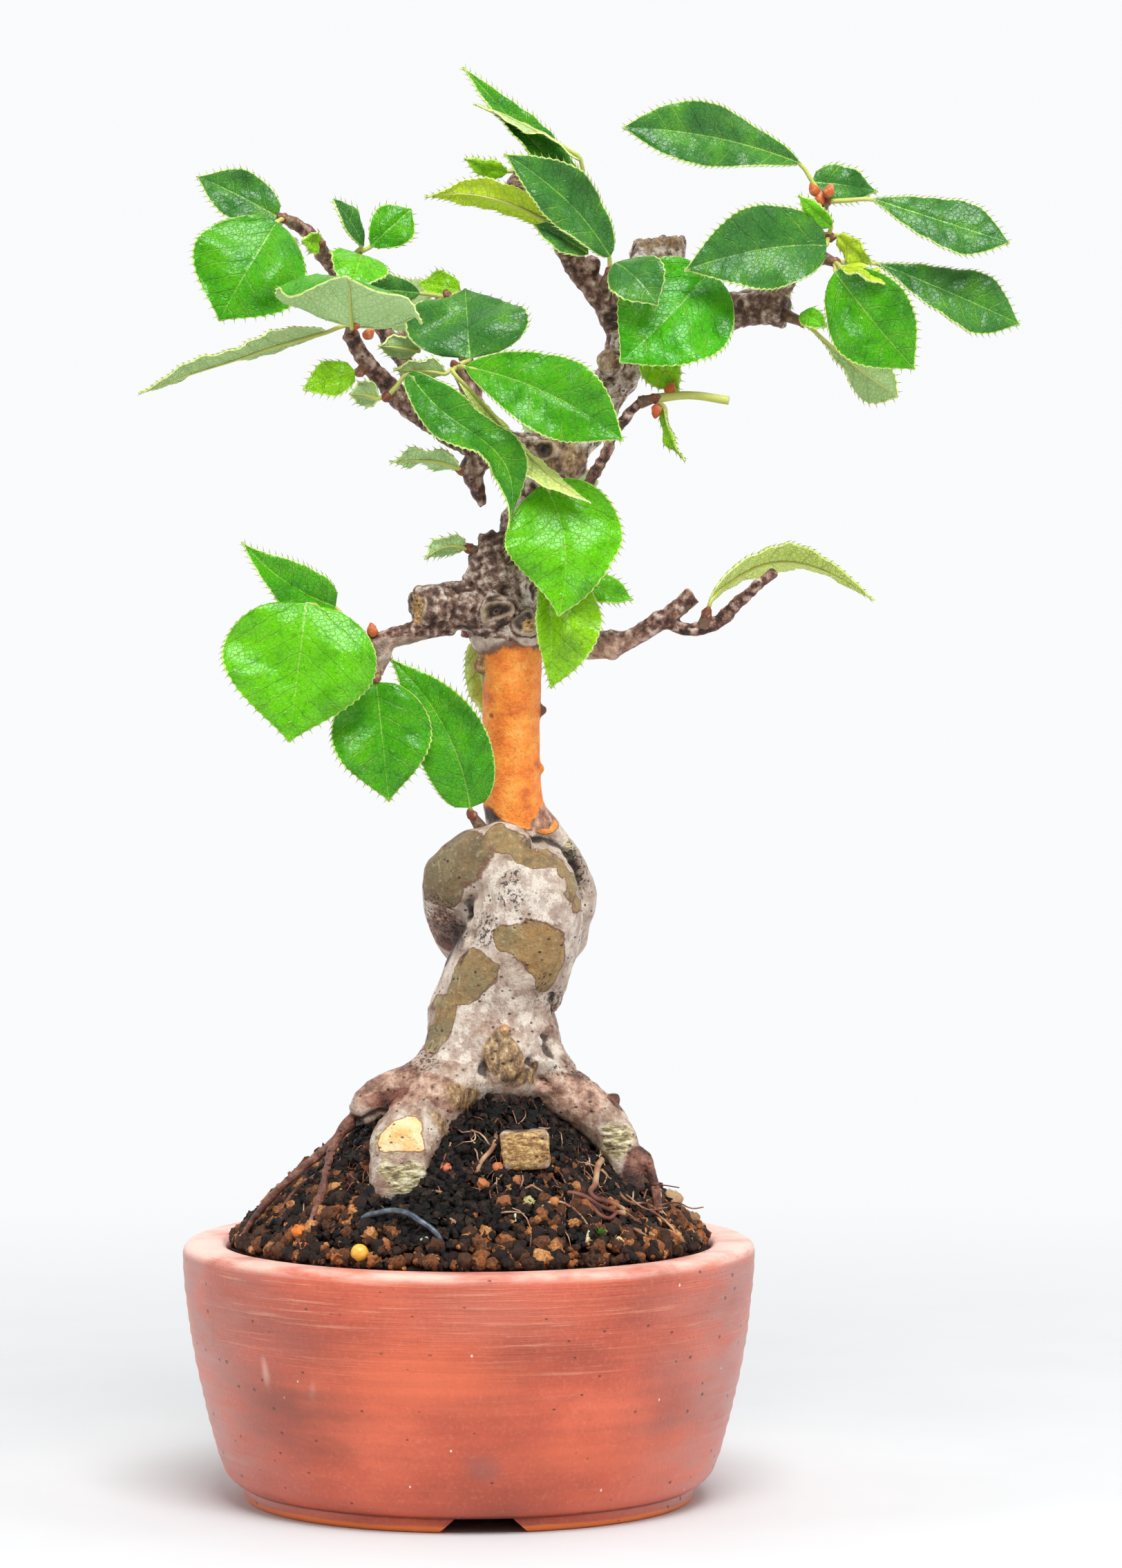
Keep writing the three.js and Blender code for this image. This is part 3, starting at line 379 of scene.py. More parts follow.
# %% The finish helper
class Finish:
    """A Principled shader and the patterns that feed it, laid out in millimetres."""

    def __init__(self, name, **sockets):
        self.material = bpy.data.materials.new(name)
        self.material.use_nodes = True
        self.nodes = self.material.node_tree.nodes
        self.shader = self.nodes["Principled BSDF"]
        for socket, value in sockets.items():
            self.shader.inputs[socket.replace("_", " ")].default_value = value
        scale = self.node("ShaderNodeVectorMath", [self.coordinates("Object")], operation="SCALE")
        scale.inputs["Scale"].default_value = 1 / MM
        self.mm = Value(self, scale.outputs[0])
        self.colour = None
        self.height = None

    def feed(self, socket, value):
        if isinstance(value, Value):
            self.material.node_tree.links.new(value.socket, socket)
        elif value is not None:
            socket.default_value = value

    def set(self, socket, value):
        self.feed(self.shader.inputs[socket], value)

    def node(self, kind, values=(), **settings):
        """A new node with its settings and with what goes into its first sockets."""
        node = self.nodes.new(kind)
        for key, value in settings.items():
            setattr(node, key, value)
        for index, value in enumerate(values):
            self.feed(node.inputs[index], value)
        return node

    def out(self, kind, values=(), output=0, **settings):
        """What a new node gives out."""
        return Value(self, self.node(kind, values, **settings).outputs[output])

    def coordinates(self, name):
        return self.out("ShaderNodeTexCoord", output=name)

    def attribute(self, name, output="Fac"):
        return self.out("ShaderNodeAttribute", output=output, attribute_name=name)

    def math(self, operation, first, second=None):
        return self.out("ShaderNodeMath", [first, second], operation=operation)

    def scaled(self, size, stretch, shift=(0, 0, 0)):
        """The place in units of a pattern's size, stretched along the axes."""
        mapping = self.node("ShaderNodeMapping", [self.mm, shift])
        mapping.inputs["Scale"].default_value = [1 / (size * s) for s in stretch]
        return Value(self, mapping.outputs[0])

    def noise(self, size, detail=2, stretch=(1, 1, 1), rough=0.5):
        node = self.node("ShaderNodeTexNoise", [self.scaled(size, stretch)])
        for socket, value in (("Scale", 1), ("Detail", detail), ("Roughness", rough)):
            node.inputs[socket].default_value = value
        return Value(self, node.outputs[0])

    def cells(self, size, stretch=(1, 1, 1), feature="F1", shift=(0, 0, 0)):
        node = self.node("ShaderNodeTexVoronoi", [self.scaled(size, stretch, shift)], feature=feature)
        node.inputs["Scale"].default_value = 1
        return Value(self, node.outputs["Distance"])

    def spot(self, x, z, depth, reach, turn=0):
        """How far inside an egg-shaped patch a place is: 1 at its middle and 0 at its edge."""
        node = self.node("ShaderNodeMapping", [self.mm], vector_type="TEXTURE")
        node.inputs["Location"].default_value = place(x, z, depth) / MM
        node.inputs["Rotation"].default_value = (0, math.radians(turn), 0)
        node.inputs["Scale"].default_value = reach
        inside = Value(self, node.outputs[0])
        return 1.0 - self.out("ShaderNodeVectorMath", [inside], output="Value", operation="LENGTH")

    def mix(self, amount, first, second):
        node = self.node("ShaderNodeMix", data_type="RGBA")
        for index, value in ((0, amount), (6, first), (7, second)):
            self.feed(node.inputs[index], value)
        return Value(self, node.outputs[2])

    def lay(self, amount, tone):
        """Lay a tone over the colour so far."""
        self.colour = self.mix(amount, self.colour, tone)

    def relief(self, height, depth):
        """Raise the surface by a pattern of 0 to 1 times a depth in millimetres."""
        raised = height * depth
        self.height = self.height + raised if self.height else raised

    def finish(self):
        """Join the colour and the relief to the shader and give the material back."""
        self.set("Base Color", self.colour)
        if self.height:
            bump = self.node("ShaderNodeBump")
            bump.inputs["Distance"].default_value = MM
            self.feed(bump.inputs["Height"], self.height)
            self.set("Normal", Value(self, bump.outputs[0]))
        return self.material


def floor_finish():
    """A pale sheet that takes shadows near the pot and shines like the tent further away."""
    sheet = Finish("floor_sheet", Roughness=0.9, Specular_IOR_Level=0, Emission_Color=rgb(250, 251, 252))
    away = sheet.out("ShaderNodeVectorMath", [sheet.mm], output="Value", operation="LENGTH")
    far = away.mask(110, 460)
    sheet.colour = sheet.mix(sheet.noise(30, 4), rgb(209, 209, 209), rgb(216, 216, 216))
    sheet.lay(far, rgb(0, 0, 0))
    sheet.set("Emission Strength", far)
    return sheet.finish()


floor.data.materials.append(floor_finish())
print("nodes of the floor", len(floor.data.materials[0].node_tree.nodes))

# %% [markdown]
# ## The pot
# The pot was thrown on a wheel and fired without a glaze. Thrown clay keeps fine rings from the
# fingers, and the rim is never quite round. A circle could be extruded ring by ring, but the wall,
# the broad lip, the foot and the drainage hole are one closed section, so that section is drawn
# once and spun round the axis. Fine rings and a slight wobble come after that.

# %% Draw the section of the pot and spin it
POT_STEPS = 160
FOOT_HEIGHT = 2.5
OUTSIDE = [(39.35, 2.6), (41.2, 3.5), (42.2, 4.6), (43.6, 8.2), (45.6, 15.4), (47.2, 22.7), (48.5, 29.9),
           (49.35, 37.1), (49.7, 42.4)]
LIP = [(49.72, 43.1), (49.55, 43.9), (49.1, 44.5), (48.4, 44.85), (47.4, 44.98), (43.7, 44.95),
       (42.8, 44.7), (42.2, 44.1), (42.0, 43.2)]
FOOT = [(6.5, FOOT_HEIGHT), (33.0, FOOT_HEIGHT), (33.4, 2.2), (33.5, 0.5), (34.0, 0.0), (38.2, 0.0),
        (38.8, 0.4), (39.0, 1.0), (39.0, 2.2), (38.9, FOOT_HEIGHT)]
INSIDE = [(42.2, 36), (42.4, 30), (41.4, 22), (40, 14), (37.6, 9), (35, 7), (6.5, 7)]
RING_PITCH = 0.7
RING_HEIGHT = 0.05
RING_SHAKE = 0.025


def wall_section():
    """The wall between foot and lip, with the rings that the fingers left."""
    rng = np.random.default_rng(11)
    radii, heights = np.array(OUTSIDE).T
    count = int((heights[-1] - heights[0]) / RING_PITCH)
    z = np.linspace(heights[0], heights[-1], count)
    r = np.interp(z, heights, radii)
    for _ in range(3):
        r[1:-1] = (r[:-2] + 2 * r[1:-1] + r[2:]) / 4
    rings = RING_HEIGHT * np.sin(z * 2.4 + 1.3 * np.sin(z * 0.41)) + rng.normal(0, RING_SHAKE, count)
    r[2:-1] += rings[2:-1]
    return list(zip(r, z))


pot = spun("thrown_pot", FOOT + wall_section() + LIP + INSIDE, POT_STEPS)
print("points of the pot", len(pot.data.vertices))

# %% [markdown]
# ### Notches in the foot
# Three notches let the water run out from under the pot. The potter cuts them with a wire while
# the clay is soft, so they are wedges that widen downwards. A Boolean takes such wedges away.

# %% Cut the notches
NOTCH_TURNS = (4.3, 124.3, 244.3)
NOTCH_WIDTH = 17.5
NOTCH_TOP = 9.8
NOTCH_LENGTH = 10
NOTCH_BELOW = -1
FOOT_MIDDLE = 36


def notch(turn):
    """A wedge that widens downwards, as a wire cut leaves it."""
    bpy.ops.mesh.primitive_cube_add(size=1)
    wedge = bpy.context.object
    shaped = []
    for x, y, z in points_of(wedge):
        width, height = (NOTCH_TOP, FOOT_HEIGHT) if z > 0 else (NOTCH_WIDTH, NOTCH_BELOW)
        local = Vector((x * width, y * NOTCH_LENGTH - FOOT_MIDDLE, height))
        local.rotate(Matrix.Rotation(math.radians(turn), 3, "Z"))
        shaped.append(from_mm(local))
    move_points(wedge, shaped)
    return wedge


notches = joined([notch(turn) for turn in NOTCH_TURNS], "notches")
modify(pot, "BOOLEAN", object=notches, operation="DIFFERENCE", solver="EXACT")
bpy.data.objects.remove(notches)
print("faces after the cut", len(pot.data.polygons))

# %% [markdown]
# ### Out of true
# A hand-thrown pot leans and bulges by a few tenths of a millimetre. Slow waves round the wall
# show in its outline, and small dents catch the light. The foot stays flat, because the pot
# stands on it.

# %% Make the pot slightly uneven
def uneven(points):
    local = in_mm(points)
    radius = np.hypot(local[:, 0], local[:, 1])
    turn = np.arctan2(local[:, 1], local[:, 0])
    swell = np.clip(local[:, 2] / 20, 0, 1) * np.clip((radius - 12) / 20, 0, 1)
    slow = -0.12 + 0.1 * np.sin(2 * turn + 0.6) * np.cos(turn - 1.9)
    dents = np.array([noise.noise(Vector(p) / 9) for p in local.tolist()])
    growth = 1 + swell * (slow + 0.14 * dents) / np.maximum(radius, 1)
    local[:, :2] *= growth[:, None]
    return from_mm(local)


move_points(pot, uneven(points_of(pot)))
print("width in mm", round(np.ptp(points_of(pot)[:, 0]) / MM, 1))

# %% [markdown]
# ### The clay
# Unglazed clay that was fired in a smoky kiln runs from a brown red to an orange red on the same
# wall. A greyish lilac towards the left and right sides is painted reflection, laid by the way the
# wall faces. Noises give the blotches, the fine sand and the drawn-out lines of the wheel; near the
# rim the lines get a painted highlight on their ridges and painted shade in their grooves. Small
# pits and pale specks come from cells, the top of the lip gets a painted highlight, the groove
# above the foot painted shade, and the raw edge of the foot stays bright orange. Stains and
# scratches, and patches of painted light and shade, are listed one by one: each row gives a place
# on the front view, the reach of the patch, its turn and strength, and its tone.

# %% Lay the colours of the clay
clay = Finish("terracotta", Specular_IOR_Level=0.5, Coat_Weight=0.28, Coat_Roughness=0.3,
              Sheen_Weight=0.1, Sheen_Roughness=0.3, Sheen_Tint=rgb(224, 208, 226))
up = clay.out("ShaderNodeSeparateXYZ", [clay.mm], output="Z")
sideways = clay.out("ShaderNodeSeparateXYZ", [clay.coordinates("Normal")], output="X")
near_rim = up.mask(20, 38) + 0.12
lines = clay.noise(3.2, 5, (8, 8, 0.18), rough=0.7)
streaks = clay.noise(6, 4, (2.4, 2.4, 0.7), rough=0.6)
sand = clay.noise(0.7, 3, rough=0.7)

blotches = clay.noise(22, 4, (1, 1, 0.6))
clay.colour = blotches.ramp((0.3, 176, 74, 50), (0.5, 204, 88, 58), (0.7, 226, 104, 70))
# Near the rim the lines of the wheel get a painted highlight on their ridges and painted shade in their
# grooves.
clay.lay(lines.mask(0.54, 0.7) * near_rim * 0.6, rgb(244, 172, 142))
clay.lay(lines.mask(0.46, 0.3) * near_rim * 0.35, rgb(146, 62, 42))
clay.lay(sand.mask(0.5, 0.8) * 0.25, rgb(236, 164, 134))
clay.lay(sand.mask(0.45, 0.25) * 0.3, rgb(140, 62, 44))
# A greyish lilac towards the left and right sides is painted reflection; the same side mask also lets more
# pits show there.
side_sheen_and_pits = abs(sideways).mask(0.48, 0.98)
clay.lay(side_sheen_and_pits * streaks.mask(0.2, 0.7) * 0.8, rgb(182, 126, 114))
# A painted highlight along the top of the lip.
clay.lay(up.mask(43.0, 44.7) * streaks.mask(0.25, 0.6) * 0.9, rgb(255, 206, 188))
print("nodes so far", len(clay.nodes))

# %% Add pits, stains, painted light and shade and the foot, and finish the pot
# Each row is a patch on the front wall. The glow on the front and the lighter upper front are painted light,
# the pale band under the lip is a painted highlight, and the darker lower left is painted shade. The pale
# scratches at the left and the grey smudge at the bottom are marks of the clay; the other rows are darker or
# brighter patches.
CLAY_STAINS_AND_PAINTED_LIGHT = [
    (-36, 20, (1.1, 30, 4.2), -8, 0.8, rgb(240, 204, 184)),
    (-27.5, 17.5, (0.9, 30, 2.6), 6, 0.5, rgb(226, 168, 144)),
    (-45.8, 26, (0.9, 30, 7), 0, 0.8, rgb(84, 42, 36)),
    (2.5, 4.6, (5, 30, 3.6), 14, 0.4, rgb(132, 96, 92)),
    (18, 6, (16, 30, 5), 0, 0.5, rgb(236, 112, 70)),
    (-34, 12, (18, 30, 13), 0, 0.85, rgb(132, 64, 46)),
    (-32, 28, (11, 30, 8), 0, 0.4, rgb(158, 84, 68)),
    (35, 12, (12, 30, 10), 0, 0.5, rgb(146, 70, 54)),
    (-8, 21, (24, 30, 9), 0, 0.6, rgb(246, 118, 74)),
    (4, 33, (22, 30, 8), 0, 0.45, rgb(232, 126, 98)),
    (-10, 41.6, (26, 30, 2.4), 0, 0.7, rgb(250, 170, 142)),
]
FRONT_WALL = -46
GROOVE_HEIGHT = 2.7

pits = (clay.cells(3.2, (1.3, 1.3, 0.9)) - (side_sheen_and_pits * 0.05 + 0.06)).mask(0.02, -0.02)
clay.lay(pits * 0.75, rgb(92, 44, 34))
clay.lay(clay.cells(5.2, (1, 1, 1.4), shift=(0.7, 0.3, 0.1)).mask(0.048, 0.025), rgb(244, 226, 214))
# Lay the stains and scratches and the patches of painted light and shade.
for x, z, reach, turn, strength, tone in CLAY_STAINS_AND_PAINTED_LIGHT:
    stain_and_painted_light = clay.spot(x, z, FRONT_WALL, reach, turn) + (streaks - 0.5) * 0.9
    clay.lay(stain_and_painted_light.mask(0.0, 0.9) * strength, tone)
# A dark line in the groove between the wall and the foot is painted shade.
clay.lay(abs(up - GROOVE_HEIGHT).mask(0.5, 0.1) * 0.6, rgb(70, 34, 28))
clay.lay((up + streaks).mask(1.9, 1.3) * 0.9, rgb(250, 132, 56))
clay.set("Roughness", lines.between(0.3, 0.7, 0.36, 0.56))
clay.relief(lines * near_rim, 0.34)
clay.relief(sand, 0.1)
clay.relief(pits, -0.35)
dress(pot, clay.finish(), ["pot"], smooth_below=50)

# %% [markdown]
# ## Netting, wires and the fertiliser grain
# The netting over the drainage hole and its clip lie under the soil. Their solids already have
# the right shape, so they keep it and only get a finish. The tie wire shows as a blue-grey arc
# among the roots. It follows the same points as its solid, on a smooth round curve. The slow
# fertiliser is one coated ball, slightly dented.

# %% Finish the netting and the clip
def worn(name, size, edges, tones, depth, **sockets):
    """A finish that runs from one tone to another along a noise."""
    look = Finish(name, **sockets)
    wear = look.noise(size, 4)
    look.colour = look.mix(wear.mask(*edges), *tones)
    look.relief(wear, depth)
    return look.finish()


netting_look = worn("black_netting", 1.5, (0.4, 0.8), (rgb(28, 30, 28), rgb(84, 70, 58)), 0.05,
                    Roughness=0.55)
wire_look = worn("annealed_wire", 1.2, (0.35, 0.75), (rgb(70, 80, 92), rgb(122, 134, 146)), 0.06,
                 Roughness=0.42, Metallic=0.55)
for node_name, look in (("drainage_mesh", netting_look), ("mesh_clip", wire_look)):
    solid = bpy.data.objects[node_name]
    solid.data.materials.clear()
    solid.data.materials.append(look)
print("kept the CAD shape of the netting and the clip")

# %% Model the tie wire
WIRE_RADIUS = 0.5
TIE_ARC = [(-18.5, 48.4, -29.5), (-15.8, 49.6, -31.5), (-12, 49.9, -33.4), (-8.5, 48.2, -35.5),
           (-5.3, 45.4, -36.6)]
TIE_LEG = [(5.1, -1.2, 14), (5.1, -1.2, 4.6), (5.3, -1.2, 1.6), (12, -1.2, 1.6)]
TIE_RISE = [(-12, -18, 28), (-18.5, -27.5, 44)]
TIE_FALL = [(-3.5, -33, 43), (0, -14, 24)]


def tie_wire():
    """The wire from under the pot, through the soil, over the root and back."""
    rise = [(-x, y, z) for x, y, z in reversed(TIE_LEG)] + TIE_RISE
    spots = [from_mm(spot) for spot in rise]
    spots += [place(*row) for row in TIE_ARC]
    spots += [from_mm(spot) for spot in TIE_FALL + TIE_LEG]
    return tubes("tie_down_wire", [[(spot, WIRE_RADIUS * MM) for spot in spots]], sides=12, steps=8)


dress(tie_wire(), wire_look, ["tie_wire"], smooth_below=60)

# %% Model the fertiliser grain
PRILL_RADIUS = 1.6
PRILL_SPOT = (-19, 42.6, -36)

bpy.ops.mesh.primitive_uv_sphere_add(segments=20, ring_count=12, radius=PRILL_RADIUS * MM)
prill = bpy.context.object
prill.name = "coated_grain"
lumpy = points_of(prill)
lumpy *= np.array([[0.97 + 0.06 * noise.noise(Vector(p) * 700)] for p in lumpy.tolist()])
move_points(prill, lumpy + np.array(place(*PRILL_SPOT)))

shell = Finish("coated_fertiliser", Roughness=0.35, Subsurface_Weight=0.2)
shell.colour = shell.mix(shell.noise(0.8, 3), rgb(246, 146, 30), rgb(255, 208, 90))
shell.relief(shell.noise(0.3, 2), 0.04)
dress(prill, shell.finish(), ["fertiliser_prill"])

# %% [markdown]
# ## The wood, one skin over many curves
# Roots, the coiled trunk, branches and twigs grew as one piece and flow into each other. Separate
# tubes would meet in hard creases. So every round is laid as a smooth curve with its own
# thickness, all of them are made one mesh, and a voxel remesh draws a single skin over them, as
# clay would be smoothed over a wire model. The rows are the same centre lines as in the frame:
# across, height, depth and radius.

# %% The centre lines of the trunk
TRUNK = {
    "column": [
        (4.6, 70, 3, 8), (4.4, 74, 1, 12.2), (4.2, 79, 0, 12.2), (4.4, 86.5, -0.5, 10.7),
        (8.2, 94.5, -2, 10.4), (10.6, 101.5, -4, 9.3), (9.8, 107.5, -3, 8.6), (8.6, 111.4, -2, 6),
    ],
    "coil": [
        (9.5, 108.5, -2, 7.6), (4, 110, -0.5, 7.6), (-0.4, 107.5, 3, 7.4), (-0.6, 102.5, 8, 7),
        (1.4, 97.5, 12.5, 6.6), (7, 95, 15.5, 6.6), (13.2, 97.5, 15, 6.4), (15.8, 102.5, 12.5, 6.1),
        (14.8, 108.5, 10, 6.3), (10.5, 114, 7, 6.3), (7.7, 119.5, 5, 5.7), (7.4, 125, 4, 5.2),
        (7.3, 136, 3.2, 5.1), (7.2, 146.5, 2.5, 5.5), (6, 151.5, 2, 6.7), (5.8, 156, 2, 6.4),
        (7.4, 161, 2.5, 5),
    ],
    "upper": [
        (7.2, 159, 2.5, 5.2), (9.5, 167, 3, 4.3), (12.6, 174, 4, 4.4), (15.6, 180.5, 5, 4.9),
        (19.8, 187, 5.5, 4), (24.2, 192.2, 5.5, 3.4), (27, 197, 5, 3.4), (27.6, 203, 5, 3.6),
        (31, 210, 6.5, 4.1), (32.6, 215, 7, 4.7), (32.8, 218.2, 7, 4.4), (32.8, 220.2, 7, 2.4),
    ],
}
print("rounds of the trunk", ", ".join(TRUNK))

# %% The centre lines of the roots
ROOTS = {
    "root_left": [(2.5, 79, -2, 8), (-2.6, 75.4, -5, 6), (-8, 72.8, -9, 4.2), (-13, 71.2, -11, 3.5),
                  (-17, 69, -12, 3.1), (-19.4, 66.4, -12.5, 2.2)],
    "root_front_left": [(2, 78, -3, 8), (-3.4, 71.6, -8, 7), (-8.2, 66, -14, 6.2), (-11.4, 60.5, -19.5, 5.9),
                        (-12, 55, -22, 5.4), (-12, 49, -23.5, 4.2)],
    "root_cut_front": [(9.2, 61, -10, 3), (9.7, 60, -21, 2.4)],
    "root_right": [(7, 81, -1, 8.2), (11, 76, -2, 6.4), (15.4, 71.8, -4, 5), (20, 68.2, -6, 4.4),
                   (23.8, 64.4, -7.5, 4), (26.6, 59.6, -9, 3.4), (28, 53, -10, 2.4)],
    "root_back_left": [(3, 79, 3, 8), (0, 73, 7, 6.4), (-5, 69, 13, 5), (-9, 61, 21, 4), (-11, 50, 26, 2.8)],
    "root_back_right": [(6, 79, 3, 8), (9, 73.4, 6.6, 6.4), (13.5, 67.5, 12, 4.8), (18, 58, 20, 3.6),
                        (19.5, 48, 24, 2.6)],
    "root_thin_left": [(-19, 67, -12, 1.3), (-23, 62.4, -14, 0.8), (-24.2, 59.3, -16.5, 0.75),
                       (-25.4, 53.6, -20, 0.7), (-27.6, 47.6, -23, 0.6)],
    "root_long_left": [(-22.6, 62.6, -13.5, 0.9), (-27, 59, -13, 0.8), (-31, 55.6, -12.5, 0.8),
                       (-36, 50.4, -12, 0.7), (-40, 44.4, -11, 0.5)],
    "root_thin_right": [(26.5, 61, -9, 1.2), (30, 60, -9.5, 0.9), (31.6, 56.6, -11, 0.8),
                        (32.8, 50, -12.5, 0.7)],
}
print("roots", len(ROOTS))

# %% The centre lines of the branches, and the knots
BRANCHES = {
    "stub_jagged": [(4.4, 157, 0.5, 5.4), (4.6, 164, 0, 4.4), (3.4, 168.2, 0.5, 1.8)],
    "stub_cut_left": [(2, 154.4, 0, 4.4), (-4.4, 154.9, -2.5, 3.7), (-8.8, 154.4, -4.5, 3.5)],
    "branch_low_left": [(-3, 152.4, -2, 2.6), (-8, 151, -3, 2), (-13, 149.4, -4, 1.8),
                        (-17.6, 148.6, -4.5, 1.3)],
    "stub_down_left": [(-14.6, 148.8, -4.4, 1.9), (-15.4, 145.4, -5.4, 1.8), (-16, 143.2, -6, 1.2)],
    "branch_low_right": [(8, 151.5, 3, 4), (16, 148.6, 3, 2.6), (24.6, 148.4, 2, 2.6), (27, 148.9, 1.8, 1.8),
                         (31, 151, 1.4, 1.6), (35.4, 154, 0.6, 1.5), (38.7, 156.8, 0, 1.6)],
    "twig_low_right": [(33.6, 152.2, 1, 1.2), (38, 150.9, 0.4, 1.2), (42.4, 151.8, 0, 1.1), (46, 155, -1, 1),
                       (49, 157.8, -1.6, 0.9), (52.8, 160.8, -2, 0.9)],
    "branch_left": [(15, 181, 4, 3.8), (7.5, 181.6, 3, 3.2), (0, 183.6, 0, 2.6), (-5, 186.2, -2.5, 2.2),
                    (-10.5, 189.6, -5, 2), (-14.4, 193.4, -6, 1.6), (-18, 197.6, -6.6, 1.4),
                    (-20.5, 202, -7, 1.4)],
    "stub_hanging": [(2, 181.4, 2, 2.6), (0.8, 177.6, 1.6, 2), (2.6, 172.2, 1.4, 0.7)],
    "branch_far_left": [(-5, 186.2, -2, 1.7), (-9, 193, 4, 1.5), (-14, 201.5, 9, 1.4),
                        (-20.5, 209, 10.5, 1.3), (-24.4, 214.6, 9.6, 1.2), (-27, 218.6, 7.6, 1.2),
                        (-30.6, 221.2, 6, 1.1)],
    "stub_far_left": [(-13, 200, 8, 1.4), (-11, 201, 4, 1.5)],
    "twig_middle": [(4, 182.6, 1.5, 1.8), (1.4, 189, -1.6, 1.4), (-1.4, 194.6, -3, 1.2)],
    "twig_behind": [(1.4, 189, -1.6, 1.3), (-0.6, 198, 6, 1.2), (-3, 206.4, 9.6, 1.1)],
    "twig_red": [(12.6, 172, 3, 1.4), (19.2, 174.6, 1.4, 1), (22.4, 179, 0, 0.9), (27.4, 188, -1, 0.9),
                 (30.6, 190.6, -1.6, 1)],
    "branch_apex": [(26.5, 203, 5, 2.8), (22.6, 208.4, 4, 2.2), (18.8, 213, 2.6, 1.9), (15.4, 219, 2, 1.8),
                    (12, 224.6, 1, 2), (7.4, 228.4, 0, 2)],
    "stub_apex": [(20.4, 211, 3, 1.5), (21.4, 214.6, 1, 1.3)],
    "branch_right": [(29, 205, 5, 3.4), (40, 204.6, 8, 3), (49.6, 206.4, 6.4, 3.1), (54.6, 205.6, 5, 2.9)],
    "branch_far_right": [(51, 206.6, 6, 2.6), (54.6, 211.6, 4.6, 2), (57.2, 217.6, 3.4, 1.7),
                         (61, 222.8, 2, 1.4)],
    "twig_far_right": [(58, 219, 3, 1.2), (53.2, 221.2, 3.6, 0.9)],
    "spur_far_right": [(57, 216, 3.6, 1.3), (61.6, 214.6, 1, 1.1)],
}
KNOTS = [
    (6, 77, -8.4, 4.6), (2, 144.6, 1, 1.6), (12.6, 136.9, 3.4, 0.9), (12.5, 126.8, 3.8, 0.8),
    (4.8, 154.6, -3.4, 3.2), (10, 151.2, -2.6, 3.4), (24.6, 146.9, 0.6, 1.5), (24.4, 196.4, 2, 2.2),
    (6.2, 81.4, -11.6, 0.9), (25, 69.4, -6.4, 1.1),
]
ROUNDS = {**TRUNK, **ROOTS, **BRANCHES}
print("rounds", len(ROUNDS), "knots", len(KNOTS))

# %% [markdown]
# ### One skin
# Each round becomes a tube, and balls and one sawn block are set where the wood has a knot or a
# stump. The remesh then melts all of them into one closed skin.

# %% Lay the curves and draw one skin over them
VOXEL = 0.4
FULLNESS = 0.98
CUT_BLOCK = [9.7, 60.6, -21.4]
BLOCK_SIZE = (8, 7.4, 6.2)
BLOCK_LEAN = -4


def run_of(rows):
    return [(place(x, z, depth), radius * FULLNESS * MM) for x, z, depth, radius in rows]


def knot(x, z, depth, radius):
    bpy.ops.mesh.primitive_ico_sphere_add(
        subdivisions=3, radius=radius * FULLNESS * MM, location=place(x, z, depth))
    ball = bpy.context.object
    bpy.ops.object.transform_apply(location=True, rotation=True, scale=True)
    return ball


def block(spot, size):
    """A squared stump, as a saw leaves it."""
    bpy.ops.mesh.primitive_cube_add(size=1, location=spot, rotation=(0, math.radians(BLOCK_LEAN), 0))
    stump = bpy.context.object
    stump.scale = [side * MM for side in size]
    bpy.ops.object.transform_apply(location=True, rotation=True, scale=True)
    modify(stump, "BEVEL", width=0.5 * MM, segments=2)
    return stump


rounds = [tubes(name, [run_of(rows)], sides=20, steps=8) for name, rows in ROUNDS.items()]
lumps = [knot(*row) for row in KNOTS] + [block(place(*CUT_BLOCK), BLOCK_SIZE)]
wood = joined(rounds + lumps, "living_wood")
modify(wood, "REMESH", mode="VOXEL", voxel_size=VOXEL * MM)
modify(wood, "SMOOTH", factor=0.5, iterations=4)
print("points in the skin", len(wood.data.vertices))

# %% [markdown]
# ### Which round a point belongs to
# The bark is rougher on the old upper trunk than on the peeled neck, and a thin twig can't carry
# the lumps of the trunk. A search tree of points along every centre line tells each point of the
# skin how thick its round is and what kind of wood it is.

# %% Find the nearest centre line for every point
SAMPLES = 12
TRUNK_WOOD, ROOT_WOOD, BRANCH_WOOD = range(3)


def along_rows(rows):
    """Points between the rows, with their radii."""
    table = np.array([list(place(x, z, depth)) + [radius] for x, z, depth, radius in rows])
    steps = np.linspace(0, len(rows) - 1, (len(rows) - 1) * SAMPLES + 1)
    return np.stack([np.interp(steps, range(len(rows)), column) for column in table.T], axis=1)


centre_lines, kinds = [], []
for wood_kind, group in ((TRUNK_WOOD, TRUNK), (ROOT_WOOD, ROOTS), (BRANCH_WOOD, BRANCHES)):
    for rows in group.values():
        samples = along_rows(rows)
        centre_lines.extend(samples)
        kinds.extend([wood_kind] * len(samples))
centre_lines, kinds = np.array(centre_lines), np.array(kinds)
search = kdtree.KDTree(len(centre_lines))
for index, row in enumerate(centre_lines):
    search.insert(row[:3], index)
search.balance()

skin = points_of(wood)
nearest = np.array([search.find(point)[1] for point in skin])
thickness = centre_lines[nearest, 3]
kind = kinds[nearest]
view = front_view(skin)
print("thickest round in mm", thickness.max())

# %% [markdown]
# ### Patches, cuts and hollows
# Old bark drops off in plates and leaves olive, orange and chalky patches side by side. Each
# patch is an egg-shaped field round a measured place: its value is above 0 inside and falls
# off outside. The finish later adds noise to it, so the edge breaks up like torn bark. Cuts of
# the saw are flat, so the points inside a cut are pushed back to a plane.

